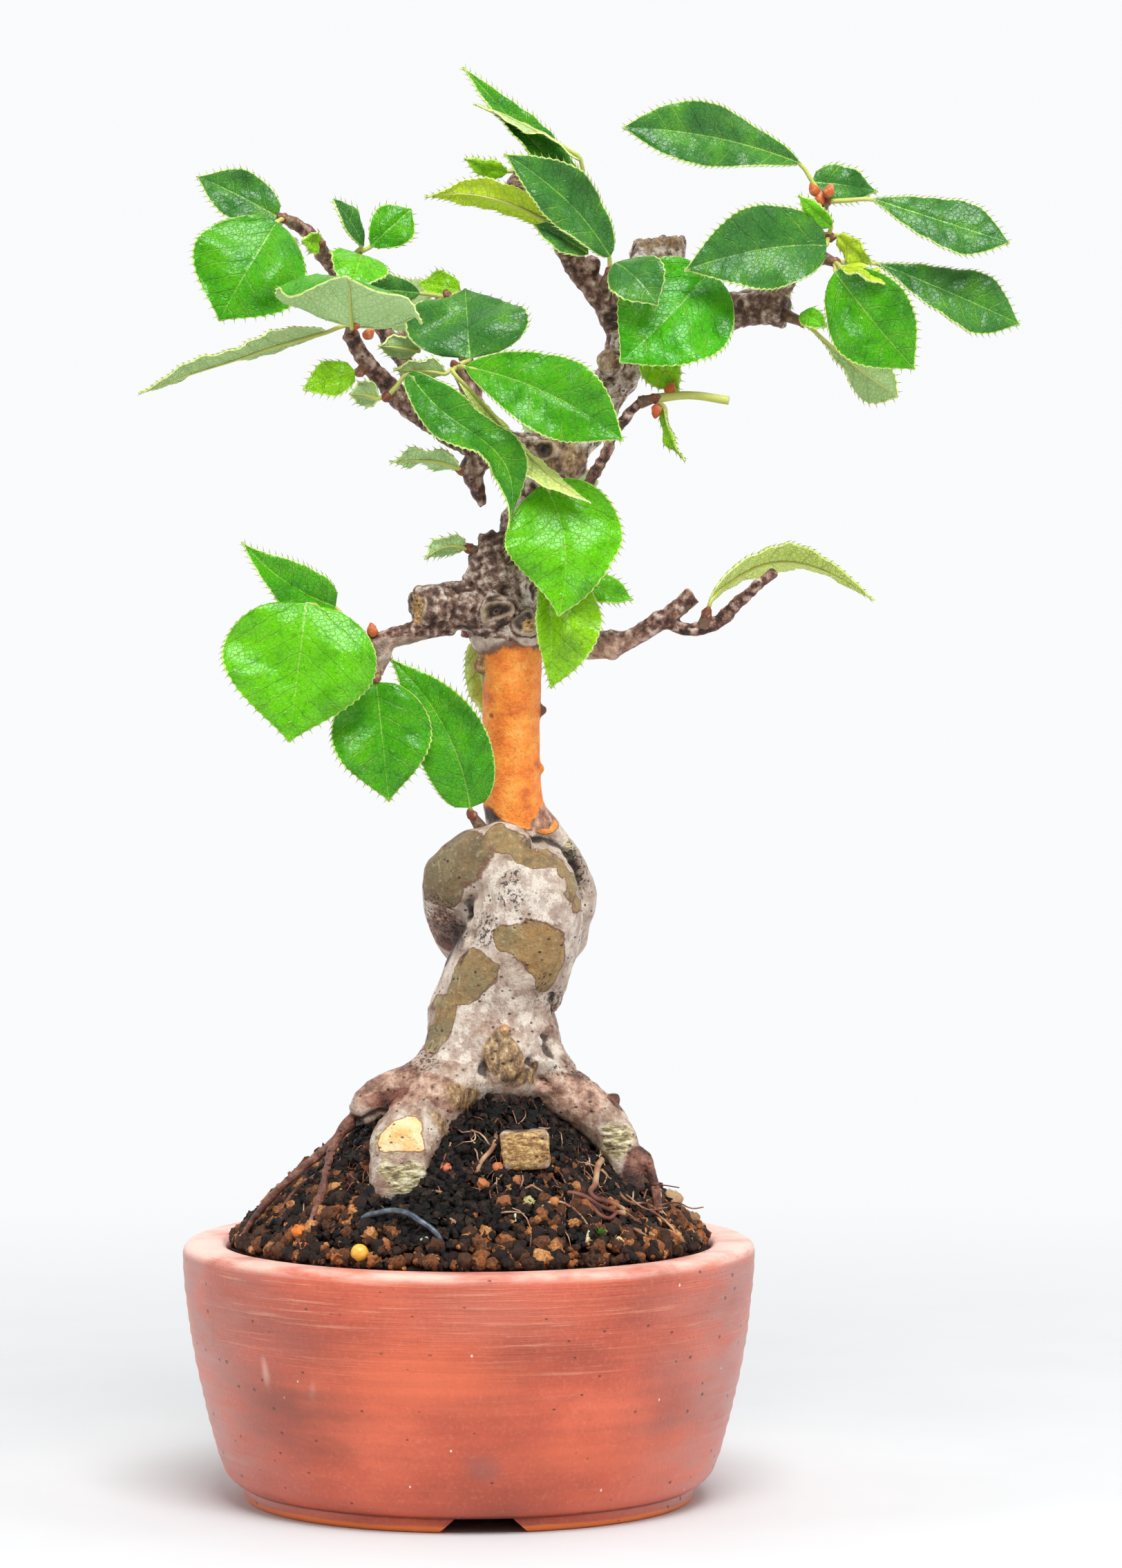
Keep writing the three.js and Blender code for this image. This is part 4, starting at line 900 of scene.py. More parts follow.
# %% Lay out the patches of the bark
PATCHES = {
    "peeled": [(7.2, 134, 3, 9, 17.5, 12), (10, 119.8, 1, 5.4, 3.6, 8), (13.4, 117.2, 2, 2.4, 1.8, 6),
               (6.2, 81.8, -13, 1.1, 1, 2)],
    "olive": [
        (6.6, 97.6, -14, 2.8, 2.6, 7), (11.6, 96.8, -14, 5.4, 3.5, 7), (13.6, 93, -14, 3.7, 4.6, 7),
        (12.8, 90, -12, 2.4, 2.6, 7), (0.4, 92.8, -9, 3.4, 2.4, 8), (2.8, 91.8, -10, 3.2, 2.6, 8),
        (-0.6, 89.4, -9, 3.4, 3.6, 8), (-4.4, 84, -8, 2.8, 4.6, 8), (-6.2, 80.4, -6, 2.1, 2.8, 8),
        (-2.4, 111.4, -3, 6.4, 5.6, 9), (-4.6, 106.6, -2, 4, 4, 8), (5.6, 114.2, -6, 4, 2.2, 7),
        (9.6, 112.4, -8, 2.4, 2.2, 6), (12.6, 111.2, -7, 2.6, 1.8, 6), (15.6, 109.2, -5, 2, 2.4, 6),
        (17.4, 106, -5, 1.9, 3.2, 6), (18.4, 103.2, -4, 1.4, 2, 6),
        (3, 100, 14, 7, 6, 6), (14, 92, 8, 5, 7, 5), (0, 84, 8, 6, 6, 5),
    ],
    "chalky": [
        (8.4, 107.4, -12, 6.6, 3.8, 9), (10.4, 102.6, -12, 8.6, 3, 9), (3.5, 115.3, -6, 1.9, 1.3, 6),
        (8.7, 113.6, -9, 1.5, 0.9, 6), (4.4, 100.6, -9, 3, 2.4, 6), (18.4, 97, -6, 2.6, 7, 6),
        (3.4, 86, -12, 4.4, 3.4, 7), (8.6, 84.2, -12, 4, 3, 7), (-2.2, 78, -9, 2.8, 4.4, 6),
        (12.2, 77.4, -9, 2.6, 4.6, 6),
    ],
    "reddish": [
        (-12, 71.6, -14, 9.4, 4.6, 8), (17.6, 69.6, -8, 6.6, 5, 7), (9, 162, -3, 1.6, 5.4, 5),
        (-4.8, 98.4, 2, 4.2, 4.6, 8), (13.4, 118.4, 2, 3, 2, 6), (33.4, 219.6, 4, 4, 2, 8),
        (55, 205.6, 4, 3, 5, 6), (-4, 70.4, -15, 5, 3, 6), (23, 148.6, 2, 8, 3.4, 6),
    ],
    "rusty": [
        (31, 56, -11, 5, 8, 6), (-31, 54, -14, 16, 12, 12), (-22.6, 61, -14, 5, 7, 8),
        (-12, 69.6, -12, 7, 2.2, 6), (25, 69.4, -7, 1.8, 1.8, 3), (-5.4, 95.4, 2, 3.6, 3.4, 7),
        (-20.6, 64.4, -12, 3, 3.4, 5),
    ],
    "green": [
        (-11, 55.4, -26, 6, 3.8, 6), (25.4, 62.4, -11, 3, 3.4, 5), (17.4, 112.4, 4, 1.6, 2.4, 6),
        (-15.4, 60.6, -20, 2, 3.4, 5),
    ],
    "knotty": [
        (5.8, 77, -13, 3.6, 4.4, 5), (7.4, 73.4, -12, 3, 2.6, 5), (-1.9, 70.2, -13, 3, 2.8, 6),
        (-5.4, 65.4, -17, 1.9, 3.6, 5), (10.8, 73.4, -11, 1.8, 3, 5), (23, 197.8, 0, 3.4, 3.2, 5),
        (33.4, 219, 4, 6, 3, 8),
        (15.8, 180.4, 0, 6, 4.4, 6), (3, 110, 15, 5, 4, 6), (1.4, 144.4, 1, 2.2, 3, 4),
    ],
    "sawn": [(9.7, 60.6, -24, 5.6, 4.4, 3.6), (-8.9, 154.4, -5, 1.2, 3, 3), (10.2, 151.6, -6.4, 1.3, 1.4, 2)],
    "wound": [(-10.2, 65, -25, 3, 2.5, 4), (-12.8, 62, -24, 3, 2.9, 4), (-10.4, 61.6, -25, 2.8, 2.3, 4),
              (-11.5, 63.4, -25, 3.7, 3.3, 4)],
    # Dark patches of soot and painted shade: most rows darken the underside of the left bulge, the creases
    # beside the coil, the bottom of the sawn block and the roots where they meet the soil, which is painted
    # shade; the small rows on the neck and its knobs are dark marks of the bark.
    "sooty": [
        (4, 64, -8, 8, 9, 12), (-1.6, 97.6, 0, 3, 4.4, 8), (1.2, 100.4, -1, 1.4, 2.4, 6),
        (18, 110.4, 3, 1.6, 3.4, 7), (9.7, 58, -22, 4, 1.6, 4), (13.4, 137, 3.4, 1.3, 2, 3),
        (13.2, 126.8, 3.8, 1.2, 1.8, 3), (3.9, 135.2, -1.6, 0.8, 0.9, 3), (2.6, 129.4, 2, 0.9, 1.6, 3),
        (3.6, 118.8, 0, 2.8, 1.4, 6), (9.7, 64.6, -18, 5, 1.8, 5),
        (27.6, 54, -9, 4, 5.4, 6), (-18.6, 63.6, -12, 2.6, 3, 4), (-11.6, 49.6, -26, 7, 3.2, 6),
        (-16, 147, -5, 2, 1, 3),
    ],
    "speckled": [
        (7.6, 108.4, -12, 2.4, 1.6, 6), (7.8, 104.6, -12, 2.8, 2, 6), (2.6, 98.6, -9, 2.6, 3.4, 6),
        (-5.4, 100, 1, 4, 7, 9), (-7.4, 79, -6, 3, 4, 8), (15.6, 84.6, -6, 3, 5, 7), (19, 110, 5, 3, 7, 8),
        (-8, 75.4, -9, 5, 2.4, 6), (19.6, 74.6, -4, 6, 2.6, 8), (12, 88, -12, 2, 4, 6),
    ],
}
print("kinds of patches", ", ".join(PATCHES))

# %% Measure how far inside a patch each point is
def shaken(view, size, reach):
    """Places that are pushed about, so that a round patch becomes an uneven one."""
    push = np.array([noise.noise_vector(Vector(row) / size) for row in view.tolist()])
    return view + reach * push


def patch_field(view, rows):
    """How far inside the nearest of several egg-shaped patches each point is."""
    fields = [1 - np.sqrt((((view - np.array([x, z, depth])) / [rx, rz, ry]) ** 2).sum(axis=1))
              for x, z, depth, rx, rz, ry in rows]
    return np.clip(np.max(fields, axis=0), -1, 1)


loose = shaken(shaken(view, 4.5, 1.5), 1.7, 0.6)
FIRM = ("wound", "sawn", "peeled")
fields = {name: patch_field(view if name in FIRM else loose, rows) for name, rows in PATCHES.items()}
print("patches", {name: int((field > 0).sum()) for name, field in fields.items()})

# %% [markdown]
# ### Creases, scars and soft noise
# The skin is still as smooth as clay. What roughens it is worked out for every point at once:
# slow and quick noises, the distance to the creases where roots part and the coil closes, and the
# rings that swell round the scar of a lost branch.

# %% Measure the creases and scars
CREASES = [
    [(12, 115, 1), (15.6, 113.2, 2.4), (18.1, 110.8, 5), (19.5, 107.8, 6), (20.4, 104.8, 8)],
    [(15.4, 88, -4), (14.6, 84.6, -6), (13.2, 81, -8), (14.4, 77.8, -8), (18, 75, -6)],
    [(0.2, 103.8, -2), (1.7, 99.3, -3), (0.4, 96.4, -3), (-1.8, 93.4, -3)],
    [(2.8, 75.6, -12), (2.4, 73.4, -12)],
    [(9.6, 76.6, -12), (11, 74.2, -12), (13, 72, -11)],
    [(-4.6, 74, -12), (-5.6, 71.2, -13), (-8.9, 68.7, -15), (-13.2, 67.4, -14), (-19, 66, -13)],
]
CREASE_WIDTH = 0.8
SCARS = [(5, 153.8, -6), (9.8, 151.9, -6), (13.1, 181.9, 0), (-8.9, 154.4, -6), (15.4, 176, 0)]
OLD_BARK = 149.5


def waves(points, size):
    """A soft noise between -1 and 1 at every point."""
    return np.array([noise.noise(Vector(p)) for p in (points / (size * MM)).tolist()])


def crease_field():
    """1 at the bottom of a crease and 0 away from it."""
    best = np.full(len(view), np.inf)
    for rows in CREASES:
        ends = np.array(rows)
        for start, end in zip(ends[:-1], ends[1:]):
            run = end - start
            along = np.clip(((loose - start) @ run) / (run @ run), 0, 1)
            off = (loose - start - along[:, None] * run) * np.array([1, 1, 0.15])
            best = np.minimum(best, (off ** 2).sum(axis=1))
    return np.exp(-best / CREASE_WIDTH ** 2)


def from_scar():
    """The uneven distance to the nearest branch scar in millimetres."""
    pushed = shaken(view, 2.2, 1.1)
    gaps = [np.linalg.norm((pushed - np.array(scar)) * np.array([0.85, 1.1, 0.6]), axis=1) for scar in SCARS]
    return np.min(gaps, axis=0)


slender = np.clip(thickness / 6, 0.12, 1)
peeled = np.clip(fields["peeled"] * 3, 0, 1)
above_neck = (view[:, 1] - OLD_BARK) / 3
old = np.clip(above_neck, 0, 1)
creases = crease_field()
scar_gap = from_scar()
print("points in creases", int((creases > 0.5).sum()))

# %% [markdown]
# ### Relief
# The relief is real geometry down to about half a millimetre, because it shows in the outline,
# and the finish adds what is finer as a bump. Coarse swellings come first, then plates, cracks
# and rings.

# %% Work out the relief
HOLLOWS = [
    (5, 153.8, -6, 1.6, 1.6), (9.8, 151.9, -6, 1.3, 0.5), (13.1, 181.9, 0, 1.3, 1.2),
    (1.6, 144.6, -1, 0.9, 0.5), (24.6, 195.8, -0.4, 1, 0.7),
    (3.6, 101.6, -3, 2.6, 1.3), (13, 73.5, -9, 2.2, 1.1), (-4, 69.2, -14, 1.8, 0.9),
]
CREASE_DEPTH = 1.2
PLATE_EDGE = 0.22


def coarse_relief():
    """The slow swellings of the wood, in millimetres."""
    calm = 1 - 0.75 * peeled
    move = 0.8 * waves(skin, 7) * slender * calm
    move += (0.26 + 0.5 * old) * waves(skin, 2.6) * np.sqrt(slender) * calm
    for x, z, depth, radius, deep in HOLLOWS:
        away = ((view - np.array([x, z, depth])) ** 2).sum(axis=1) / radius ** 2
        move += deep * (0.55 * np.exp(-(away - 1.7) ** 2) - np.exp(-away * 1.5))
    return move - CREASE_DEPTH * creases


def fine_relief():
    """The cracks, plates and rings of the bark, in millimetres."""
    ridges = 1 - 2 * np.abs(waves(skin * np.array([1, 1, 0.45]), 1.9))
    cracks = 1 - 2 * np.abs(waves(skin, 1.1))
    move = (0.05 + 0.16 * old + 0.07 * (kind != TRUNK_WOOD)) * waves(skin, 0.95) * (1 - 0.8 * peeled)
    in_branch = np.where(kind == BRANCH_WOOD, 0.6, 1)
    move += (0.42 * ridges + 0.24 * cracks) * old * np.sqrt(slender) * in_branch
    move += 0.12 * ridges * (kind == ROOT_WOOD) * np.clip(1 - fields["wound"] * 8, 0, 1)
    move += 0.24 * np.sin(scar_gap * 4.4) * np.exp(-(scar_gap / 2.6) ** 2)
    rings = np.sin(view[:, 1] * 4.6 + 2 * waves(skin, 5))
    move += 0.12 * rings * np.clip(fields["green"] * 3, 0, 1)
    plates = np.clip(PLATE_EDGE - np.abs(fields["olive"]), 0, PLATE_EDGE) / PLATE_EDGE
    return move + 0.13 * plates * (1 - old) * (kind == TRUNK_WOOD)


raised = fine_relief()
relief = coarse_relief() + raised
print("relief in mm from", round(relief.min(), 2), "to", round(relief.max(), 2))

# %% [markdown]
# ### Cuts and breaks
# Two roots were sawn flat, so the points in front of the saw's plane are pushed back to it. A
# broken stub ends in a ragged slant, so what stands above that slant is lowered. Everything that
# the finish needs is painted on the points before the mesh is thinned out.

# %% Move the skin and paint it
CUTS = [(-11.8, 62.6, 4.6, 4.8, -24.3), (6, 76.6, 3.3, 4.2, -12.1)]
BROKEN_TOPS = [(32.6, 217.4, 7, 0.12), (3, 167, 2.6, 0.2)]
BREAK_HEIGHT = 5
SKIN_KEPT = 0.64


def cut_flat(points):
    for x, z, rx, rz, depth in CUTS:
        plane = POT_AXIS.y + depth * MM
        inside = np.abs((view[:, 0] - x) / rx) ** 4 + np.abs((view[:, 1] - z) / rz) ** 4 < 1
        points[inside & (points[:, 1] < plane), 1] = plane


def break_off(points):
    for x, z, reach, slant in BROKEN_TOPS:
        top = z + slant * (view[:, 0] - x) + 1.1 * waves(points, 1.5)
        height = view[:, 1]
        above = (np.abs(view[:, 0] - x) < reach) & (height > top) & (height < z + BREAK_HEIGHT)
        points[above, 2] -= 0.85 * (height[above] - top[above]) * MM


skin = skin + points_of(wood, "normal") * (relief * MM)[:, None]
cut_flat(skin)
break_off(skin)
move_points(wood, skin)

for part in (old > 0.5, old <= 0.5):
    raised[part] = (raised[part] - raised[part].mean()) / raised[part].std()
painted = {
    **fields,
    "raised": raised,
    "crease": creases,
    "scar_mm": np.clip(scar_gap, 0, 6),
    "old": np.clip(above_neck + 0.5, 0, 1),
    "root": kind == ROOT_WOOD,
    "twig": np.clip((2.6 - thickness) / 1.2, 0, 1) * (view[:, 1] > OLD_BARK - 6),
}
for name, values in painted.items():
    paint(wood, name, values)
modify(wood, "DECIMATE", ratio=SKIN_KEPT)
print("faces of the skin", len(wood.data.polygons))

# %% [markdown]
# ## The bark
# The recipe starts from a grey bark and lays one patch over another in the order in which the
# tree shed them. Five noises are shared by all of it, so that the patches fit each other: what is
# dark in one is dark in the next. Roots that see little light keep a reddish grey.

# %% Start the bark with its grey ground
bark = Finish("quince_bark", Specular_IOR_Level=0.4)
shake = bark.noise(3.6, 4, rough=0.6)
fine = bark.noise(1.1, 4, rough=0.65)
dust = bark.noise(0.5, 3, rough=0.7)
broad = bark.noise(9, 2)
grain = bark.noise(0.3, 3, rough=0.7)

bark.colour = shake.ramp((0.3, 142, 116, 98), (0.44, 186, 164, 146), (0.58, 216, 200, 184))
red_grey = fine.ramp((0.3, 104, 68, 52), (0.5, 160, 124, 102), (0.7, 208, 180, 158))
bark.lay(bark.attribute("root") * shake.mask(0.68, 0.4) * 0.75, red_grey)


def torn(name, shaking, amount):
    """A painted field whose edge is broken up by noise."""
    return bark.attribute(name) + (shaking - 0.5) * amount


def patch(name, tone, shaking, amount, soft, strength, edge=None):
    """Lay one patch of bark over the colour, with a thin line where a plate broke away."""
    field = torn(name, shaking, amount)
    bark.lay(field.mask(0, soft) * strength, tone)
    if edge:
        bark.lay(abs(field - 0.01).mask(0.07, 0.01) * 0.8, edge)


print("nodes of the ground", len(bark.nodes))

# %% [markdown]
# ### Chalk and olive plates
# The youngest bark is a chalky white with torn scales. Plates that still hold are olive, each with a
# red-brown rim; painted light warms them where the lamp reaches them and painted shade dulls them under the
# coil.

# %% Lay the chalk and the olive plates
flakes = bark.noise(2.3, 5, (1, 1, 1.3), rough=0.62)
chalk = flakes.ramp((0.4, 174, 150, 134), (0.47, 200, 181, 165), (0.485, 212, 197, 182), (0.6, 226, 212, 197))
chalk = bark.mix(abs(flakes - 0.478).mask(0.012, 0.002) * 0.45, chalk, rgb(104, 76, 64))
patch("chalky", chalk, fine, 0.5, 0.08, 0.9)
runs_down = bark.noise(1.6, 5, (1, 1, 2.2), rough=0.7)
bark.lay(runs_down.mask(0.44, 0.36) * 0.3, rgb(120, 92, 78))

olive = (broad * 0.6 + flakes * 0.4).ramp(
    (0.36, 100, 82, 50), (0.46, 150, 118, 68), (0.54, 132, 116, 76), (0.64, 180, 156, 106))
# Painted shade dulls the olive under the coil, and painted light warms it where the lamp falls.
in_shade = bark.spot(-2.4, 109, -2, (9, 14, 11))
in_light = bark.spot(12.6, 94.6, -14, (7, 12, 8))
for amount, tone in (
    (in_shade.mask(0, 0.4) * 0.55, rgb(98, 84, 56)),
    (in_light.mask(0, 0.5) * 0.4, rgb(184, 132, 66)),
    (fine.mask(0.5, 0.3) * 0.45, rgb(92, 66, 36)),
    (fine.mask(0.54, 0.7) * 0.4, rgb(206, 186, 148)),
):
    olive = bark.mix(amount, olive, tone)
patch("olive", olive, fine, 0.3, 0.03, 0.97, rgb(104, 56, 34))
print("nodes with the plates", len(bark.nodes))

# %% [markdown]
# ### The peeled neck, roots and knots
# The orange neck is the freshest layer, where the last plates fell. The roots are red and rusty,
# with a green cast near the soil, and the crotch between them is knotty.

# %% Lay the neck, the reds, the green and the knots
orange = bark.noise(4, 4, (1, 1, 0.8), rough=0.6).ramp(
    (0.3, 204, 100, 36), (0.44, 244, 132, 42), (0.58, 255, 156, 58), (0.78, 255, 182, 96))
orange = bark.mix(fine.mask(0.46, 0.32) * 0.26, orange, rgb(150, 74, 34))
patch("peeled", orange, shake, 0.3, 0.04, 1.0, rgb(92, 52, 34))

mottle = shake * 0.65 + fine * 0.35
red = mottle.ramp((0.36, 78, 48, 36), (0.46, 140, 98, 78), (0.54, 188, 148, 124), (0.64, 226, 198, 178))
patch("reddish", red, shake, 0.6, 0.14, 0.92)
rust = mottle.ramp((0.38, 46, 22, 17), (0.47, 92, 48, 36), (0.55, 130, 76, 58), (0.68, 182, 132, 110))
patch("rusty", rust, shake, 0.5, 0.16, 0.94)

wrinkles = bark.noise(1.1, 4, (2.2, 2.2, 0.6), rough=0.65)
green = wrinkles.ramp((0.38, 70, 54, 34), (0.46, 140, 124, 76), (0.54, 204, 194, 144), (0.66, 244, 238, 214))
patch("green", green, shake, 1.5, 0.4, 0.9)
fibres = bark.noise(1.3, 5, (0.9, 0.9, 1.6), rough=0.65)
knotty = fibres.ramp((0.34, 62, 40, 26), (0.45, 122, 90, 60), (0.55, 170, 136, 92), (0.68, 222, 196, 150))
patch("knotty", knotty, shake, 0.4, 0.2, 0.95)
print("nodes with the roots", len(bark.nodes))

# %% [markdown]
# ### Old bark
# Above the neck the bark was never shed. It is dark in its cracks and nearly white on its ridges,
# partly its own colour and partly painted shade in the cracks and painted highlight on the ridges,
# so its tone follows the relief that was painted on the points. Twigs are redder and get the same
# painted shade and highlight. Round a scar the rings of the callus show, and its middle is almost black.

# %% Lay the old bark, the twigs and the scars
# The tone of the old bark follows its relief: the cracks get painted shade and the ridges a painted
# highlight, over its own dark and pale tones.
ridge = bark.attribute("raised") * 0.16 + 0.5
level = ridge * 0.4 + shake * 0.22 + fine * 0.38
aged_bark = level.ramp((0.38, 34, 19, 15), (0.45, 88, 56, 43), (0.51, 132, 101, 84), (0.57, 190, 168, 152),
                       (0.67, 230, 217, 205))
crackle = abs(bark.noise(2, 5, (1, 1, 0.6), rough=0.62) - 0.49).mask(0.02, 0.004)
aged_bark = bark.mix(crackle * 0.8, aged_bark, rgb(40, 24, 20))
aged = (bark.attribute("old") + (shake - 0.5)).mask(0.45, 0.55)
bark.lay(aged, aged_bark)
twig = level.ramp((0.4, 56, 30, 24), (0.46, 122, 80, 64), (0.52, 174, 138, 120), (0.62, 222, 200, 188))
bark.lay(bark.attribute("twig") * 0.8, twig)
bark.lay(bark.attribute("knotty").mask(-0.1, 0.3) * (aged * 0.7), knotty)

scar = bark.attribute("scar_mm")
callus = bark.math("SINE", scar * 4.4) * 0.5 + 0.5
scar_tone = (callus * 0.4 + fine * 0.6).ramp((0.3, 38, 26, 20), (0.5, 98, 76, 56), (0.68, 176, 154, 126))
ragged = scar + shake * 2.2
bark.lay(ragged.mask(3.6, 2.8) * 0.85, scar_tone)
bark.lay(ragged.mask(1.9, 1.5), rgb(30, 20, 16))
print("nodes with the old bark", len(bark.nodes))

# %% [markdown]
# ### Saw cuts, pores, grime and painted shade
# Sawn wood shows its fibres, and a fresh wound is pale and smooth. Black dots are breathing
# pores, which are cells of a Voronoi texture that are almost closed. Dark patches of soot and
# painted shade, and painted shade along the creases, come next. Dust and grain go over everything
# and tie the patches together.

# %% Lay the cuts, the pores and the dust, and finish the wood
sawn_fibres = bark.noise(0.8, 5, (1.7, 1, 0.75), rough=0.75)
sawn = sawn_fibres.ramp((0.34, 66, 42, 22), (0.44, 142, 100, 52), (0.53, 196, 152, 88), (0.6, 226, 190, 128),
                        (0.7, 250, 234, 186))
patch("sawn", sawn, fine, 0.7, 0.22, 0.95)
wound = shake.ramp((0.3, 246, 172, 92), (0.48, 254, 206, 138), (0.62, 255, 226, 180))
patch("wound", wound, fine, 0.3, 0.03, 1.0, rgb(150, 84, 40))
# Dark patches that are painted shade under the bulge, in the creases and where the roots meet the soil, and
# dark marks of the bark on the neck.
patch("sooty", rgb(36, 24, 22), fine, 0.9, 0.5, 0.85)
# Painted shade darkens the creases where the roots part and the coil closes.
bark.lay((bark.attribute("crease") + (fine - 0.5)).mask(0.35, 0.75) * 0.85, rgb(44, 30, 26))

bare = bark.attribute("peeled").mask(-0.1, 0.1)
pores = bark.cells(1.5, (1.3, 1.3, 0.9)).mask(0.2, 0.1) * (broad.mask(0.42, 0.52) - bare * 0.8)
speckles = bark.noise(0.62, 3, rough=0.6).mask(0.47, 0.41) * torn("speckled", shake, 0.8).mask(-0.15, 0.35)
dark = bark.math("MAXIMUM", pores, speckles)
bark.lay(dark * 0.88, rgb(44, 26, 22))
bark.lay(dust.mask(0.46, 0.33) * 0.3, rgb(70, 50, 40))
bark.lay(grain.mask(0.42, 0.28) * 0.5, rgb(84, 62, 50))
bark.lay(grain.mask(0.6, 0.74) * 0.3, rgb(250, 240, 226))
bark.set("Roughness", shake.between(0.3, 0.7, 0.36, 0.66))
for height, depth in ((fine, 0.42), (dust, 0.2), (grain, 0.08), (dark, 0.18)):
    bark.relief(height, depth)
dress(wood, bark.finish(), ["tree_wood"])

# %% [markdown]
# ## The soil
# A bonsai soil is small grains of baked clay round the rim and dark, fibrous peat round the
# root crown. One rough mound could carry a bump, but the grains stand clear of each other and
# cast shadows, so they are real pieces. A spun bed closes the gaps between them, a few grain
# shapes are modelled and copied, and fine roots are laid over the mound as thin tubes.

# %% Spin the bed of the soil
MOUND_REACH = 42
MOUND_FOOT = 44
MOUND_RISE = 27
CROWN_RISE = 6
CROWN_REACH = 16
SOIL_RADIUS = 41.4
BED_SINK = 1.1
BED_TOP_RINGS = 60
BED_STEPS = 150
BED_SIDES = [(41.5, 41), (41.6, 30), (39.2, 14.6), (34.2, 7.6), (0, 7.6)]


def mound(radius):
    """The height of the mound in millimetres at a distance from the pot's axis."""
    slope = 1 - (np.asarray(radius) / MOUND_REACH) ** 1.6
    return MOUND_FOOT + MOUND_RISE * slope + CROWN_RISE * np.exp(-(np.asarray(radius) / CROWN_REACH) ** 2)


def crumbled(points):
    """Shake the top of the bed into clods."""
    local = in_mm(points)
    radius = np.hypot(local[:, 0], local[:, 1])
    top = (local[:, 2] > 42) * np.clip((SOIL_RADIUS + 0.6 - radius) / 3, 0, 1)
    local[:, 2] += top * (0.9 * waves(points, 5) + 0.7 * waves(points, 2.3))
    return from_mm(local)


bed_top = [(r, mound(r) - BED_SINK) for r in np.linspace(0, SOIL_RADIUS, BED_TOP_RINGS)]
bed = spun("soil_bed", bed_top + BED_SIDES, BED_STEPS)
move_points(bed, crumbled(points_of(bed)))

peat_look = Finish("moist_peat", Roughness=0.85, Specular_IOR_Level=0.3)
strands = peat_look.noise(1.2, 5, (1, 1, 1.6), rough=0.7)
peat_look.colour = strands.ramp((0.35, 22, 15, 12), (0.55, 48, 34, 25), (0.75, 92, 62, 42))
peat_look.relief(strands, 0.6)
dress(bed, peat_look.finish(), ["soil"])

# %% [markdown]
# ### Grains
# A grain starts as a cube that is subdivided, rounded and shaken, so it keeps a few blunt
# corners like broken clay. Four of them are enough, because every copy is turned and scaled in
# its own way. A grain that would stand inside a root is left out.

# %% Model the grains
def taken_shape(piece):
    """The points and faces of a modelled piece, which is then put away."""
    shape = points_of(piece), [tuple(face.vertices) for face in piece.data.polygons]
    bpy.data.objects.remove(piece)
    return shape


def grain_shape(number, cuts, jagged):
    bpy.ops.mesh.primitive_cube_add(size=1)
    grain = bpy.context.object
    in_edit_mode(grain, lambda: bpy.ops.mesh.subdivide(number_cuts=cuts))
    points = points_of(grain)
    rounded = unit(points) * 0.55
    points = 0.14 * points + 0.86 * rounded
    seeds = [Vector(point) + Vector((number * 9, 0, 0)) for point in points.tolist()]
    broad = np.array([noise.noise_vector(seed * 2.3) for seed in seeds])
    crisp = np.array([noise.noise_vector(seed * 5.5) for seed in seeds])
    move_points(grain, points + 0.3 * broad + jagged * crisp)
    return taken_shape(grain)


def turned(rng):
    """A random turn as a 3 by 3 array."""
    axis = Vector(rng.normal(size=3))
    return np.array(Matrix.Rotation(2 * math.pi * rng.random(), 3, axis))


def copies(name, shapes, rows):
    """One mesh of many copies, each with its shape's number, its turn and size, and its place."""
    points, faces, first = [], [], 0
    for number, turn, spot in rows:
        shape_points, shape_faces = shapes[number]
        points.append(shape_points @ turn.T + spot)
        faces.extend(tuple(corner + first for corner in face) for face in shape_faces)
        first += len(shape_points)
    return new_mesh(name, np.concatenate(points), faces)


grain_shapes = [grain_shape(number, cuts=3, jagged=0.1) for number in range(4)]
crumb_shapes = [grain_shape(number, cuts=1, jagged=0.16) for number in range(7, 10)]
clod_shapes = [grain_shape(number, cuts=1, jagged=0.42) for number in range(12, 16)]
print("points of a grain and of a crumb", len(grain_shapes[0][0]), len(crumb_shapes[0][0]))

# %% [markdown]
# ### Scattering
# A grain falls on a random place of the mound. Baked clay stays near the rim, and peat near the
# roots, so each kind asks how peaty its place is and keeps its chance or tries again.

# %% Helpers that scatter grains over the mound
def inside_wood(spot, margin):
    """Whether a place lies inside a root or the trunk."""
    _, index, distance = search.find(spot)
    return distance < centre_lines[index, 3] * MM + margin


def on_mound(radius, turn, lift):
    height = float(mound(radius)) + lift
    return POT_AXIS + Vector((radius * math.cos(turn), radius * math.sin(turn), height)) * MM


def peaty(spot):
    """How much peat lies at a place, from 0 at the rim to 1 near the roots."""
    local = (spot - POT_AXIS) / MM
    patch = noise.noise(local / 9) + 0.5 * noise.noise(local / 4)
    left_front = math.exp(-((local.x + 9) ** 2 + (local.y + 31) ** 2) / 60)
    return min(max(2.25 - math.hypot(local.x - 2, local.y + 2) / 15 + 0.7 * patch + 1.2 * left_front, 0), 1)


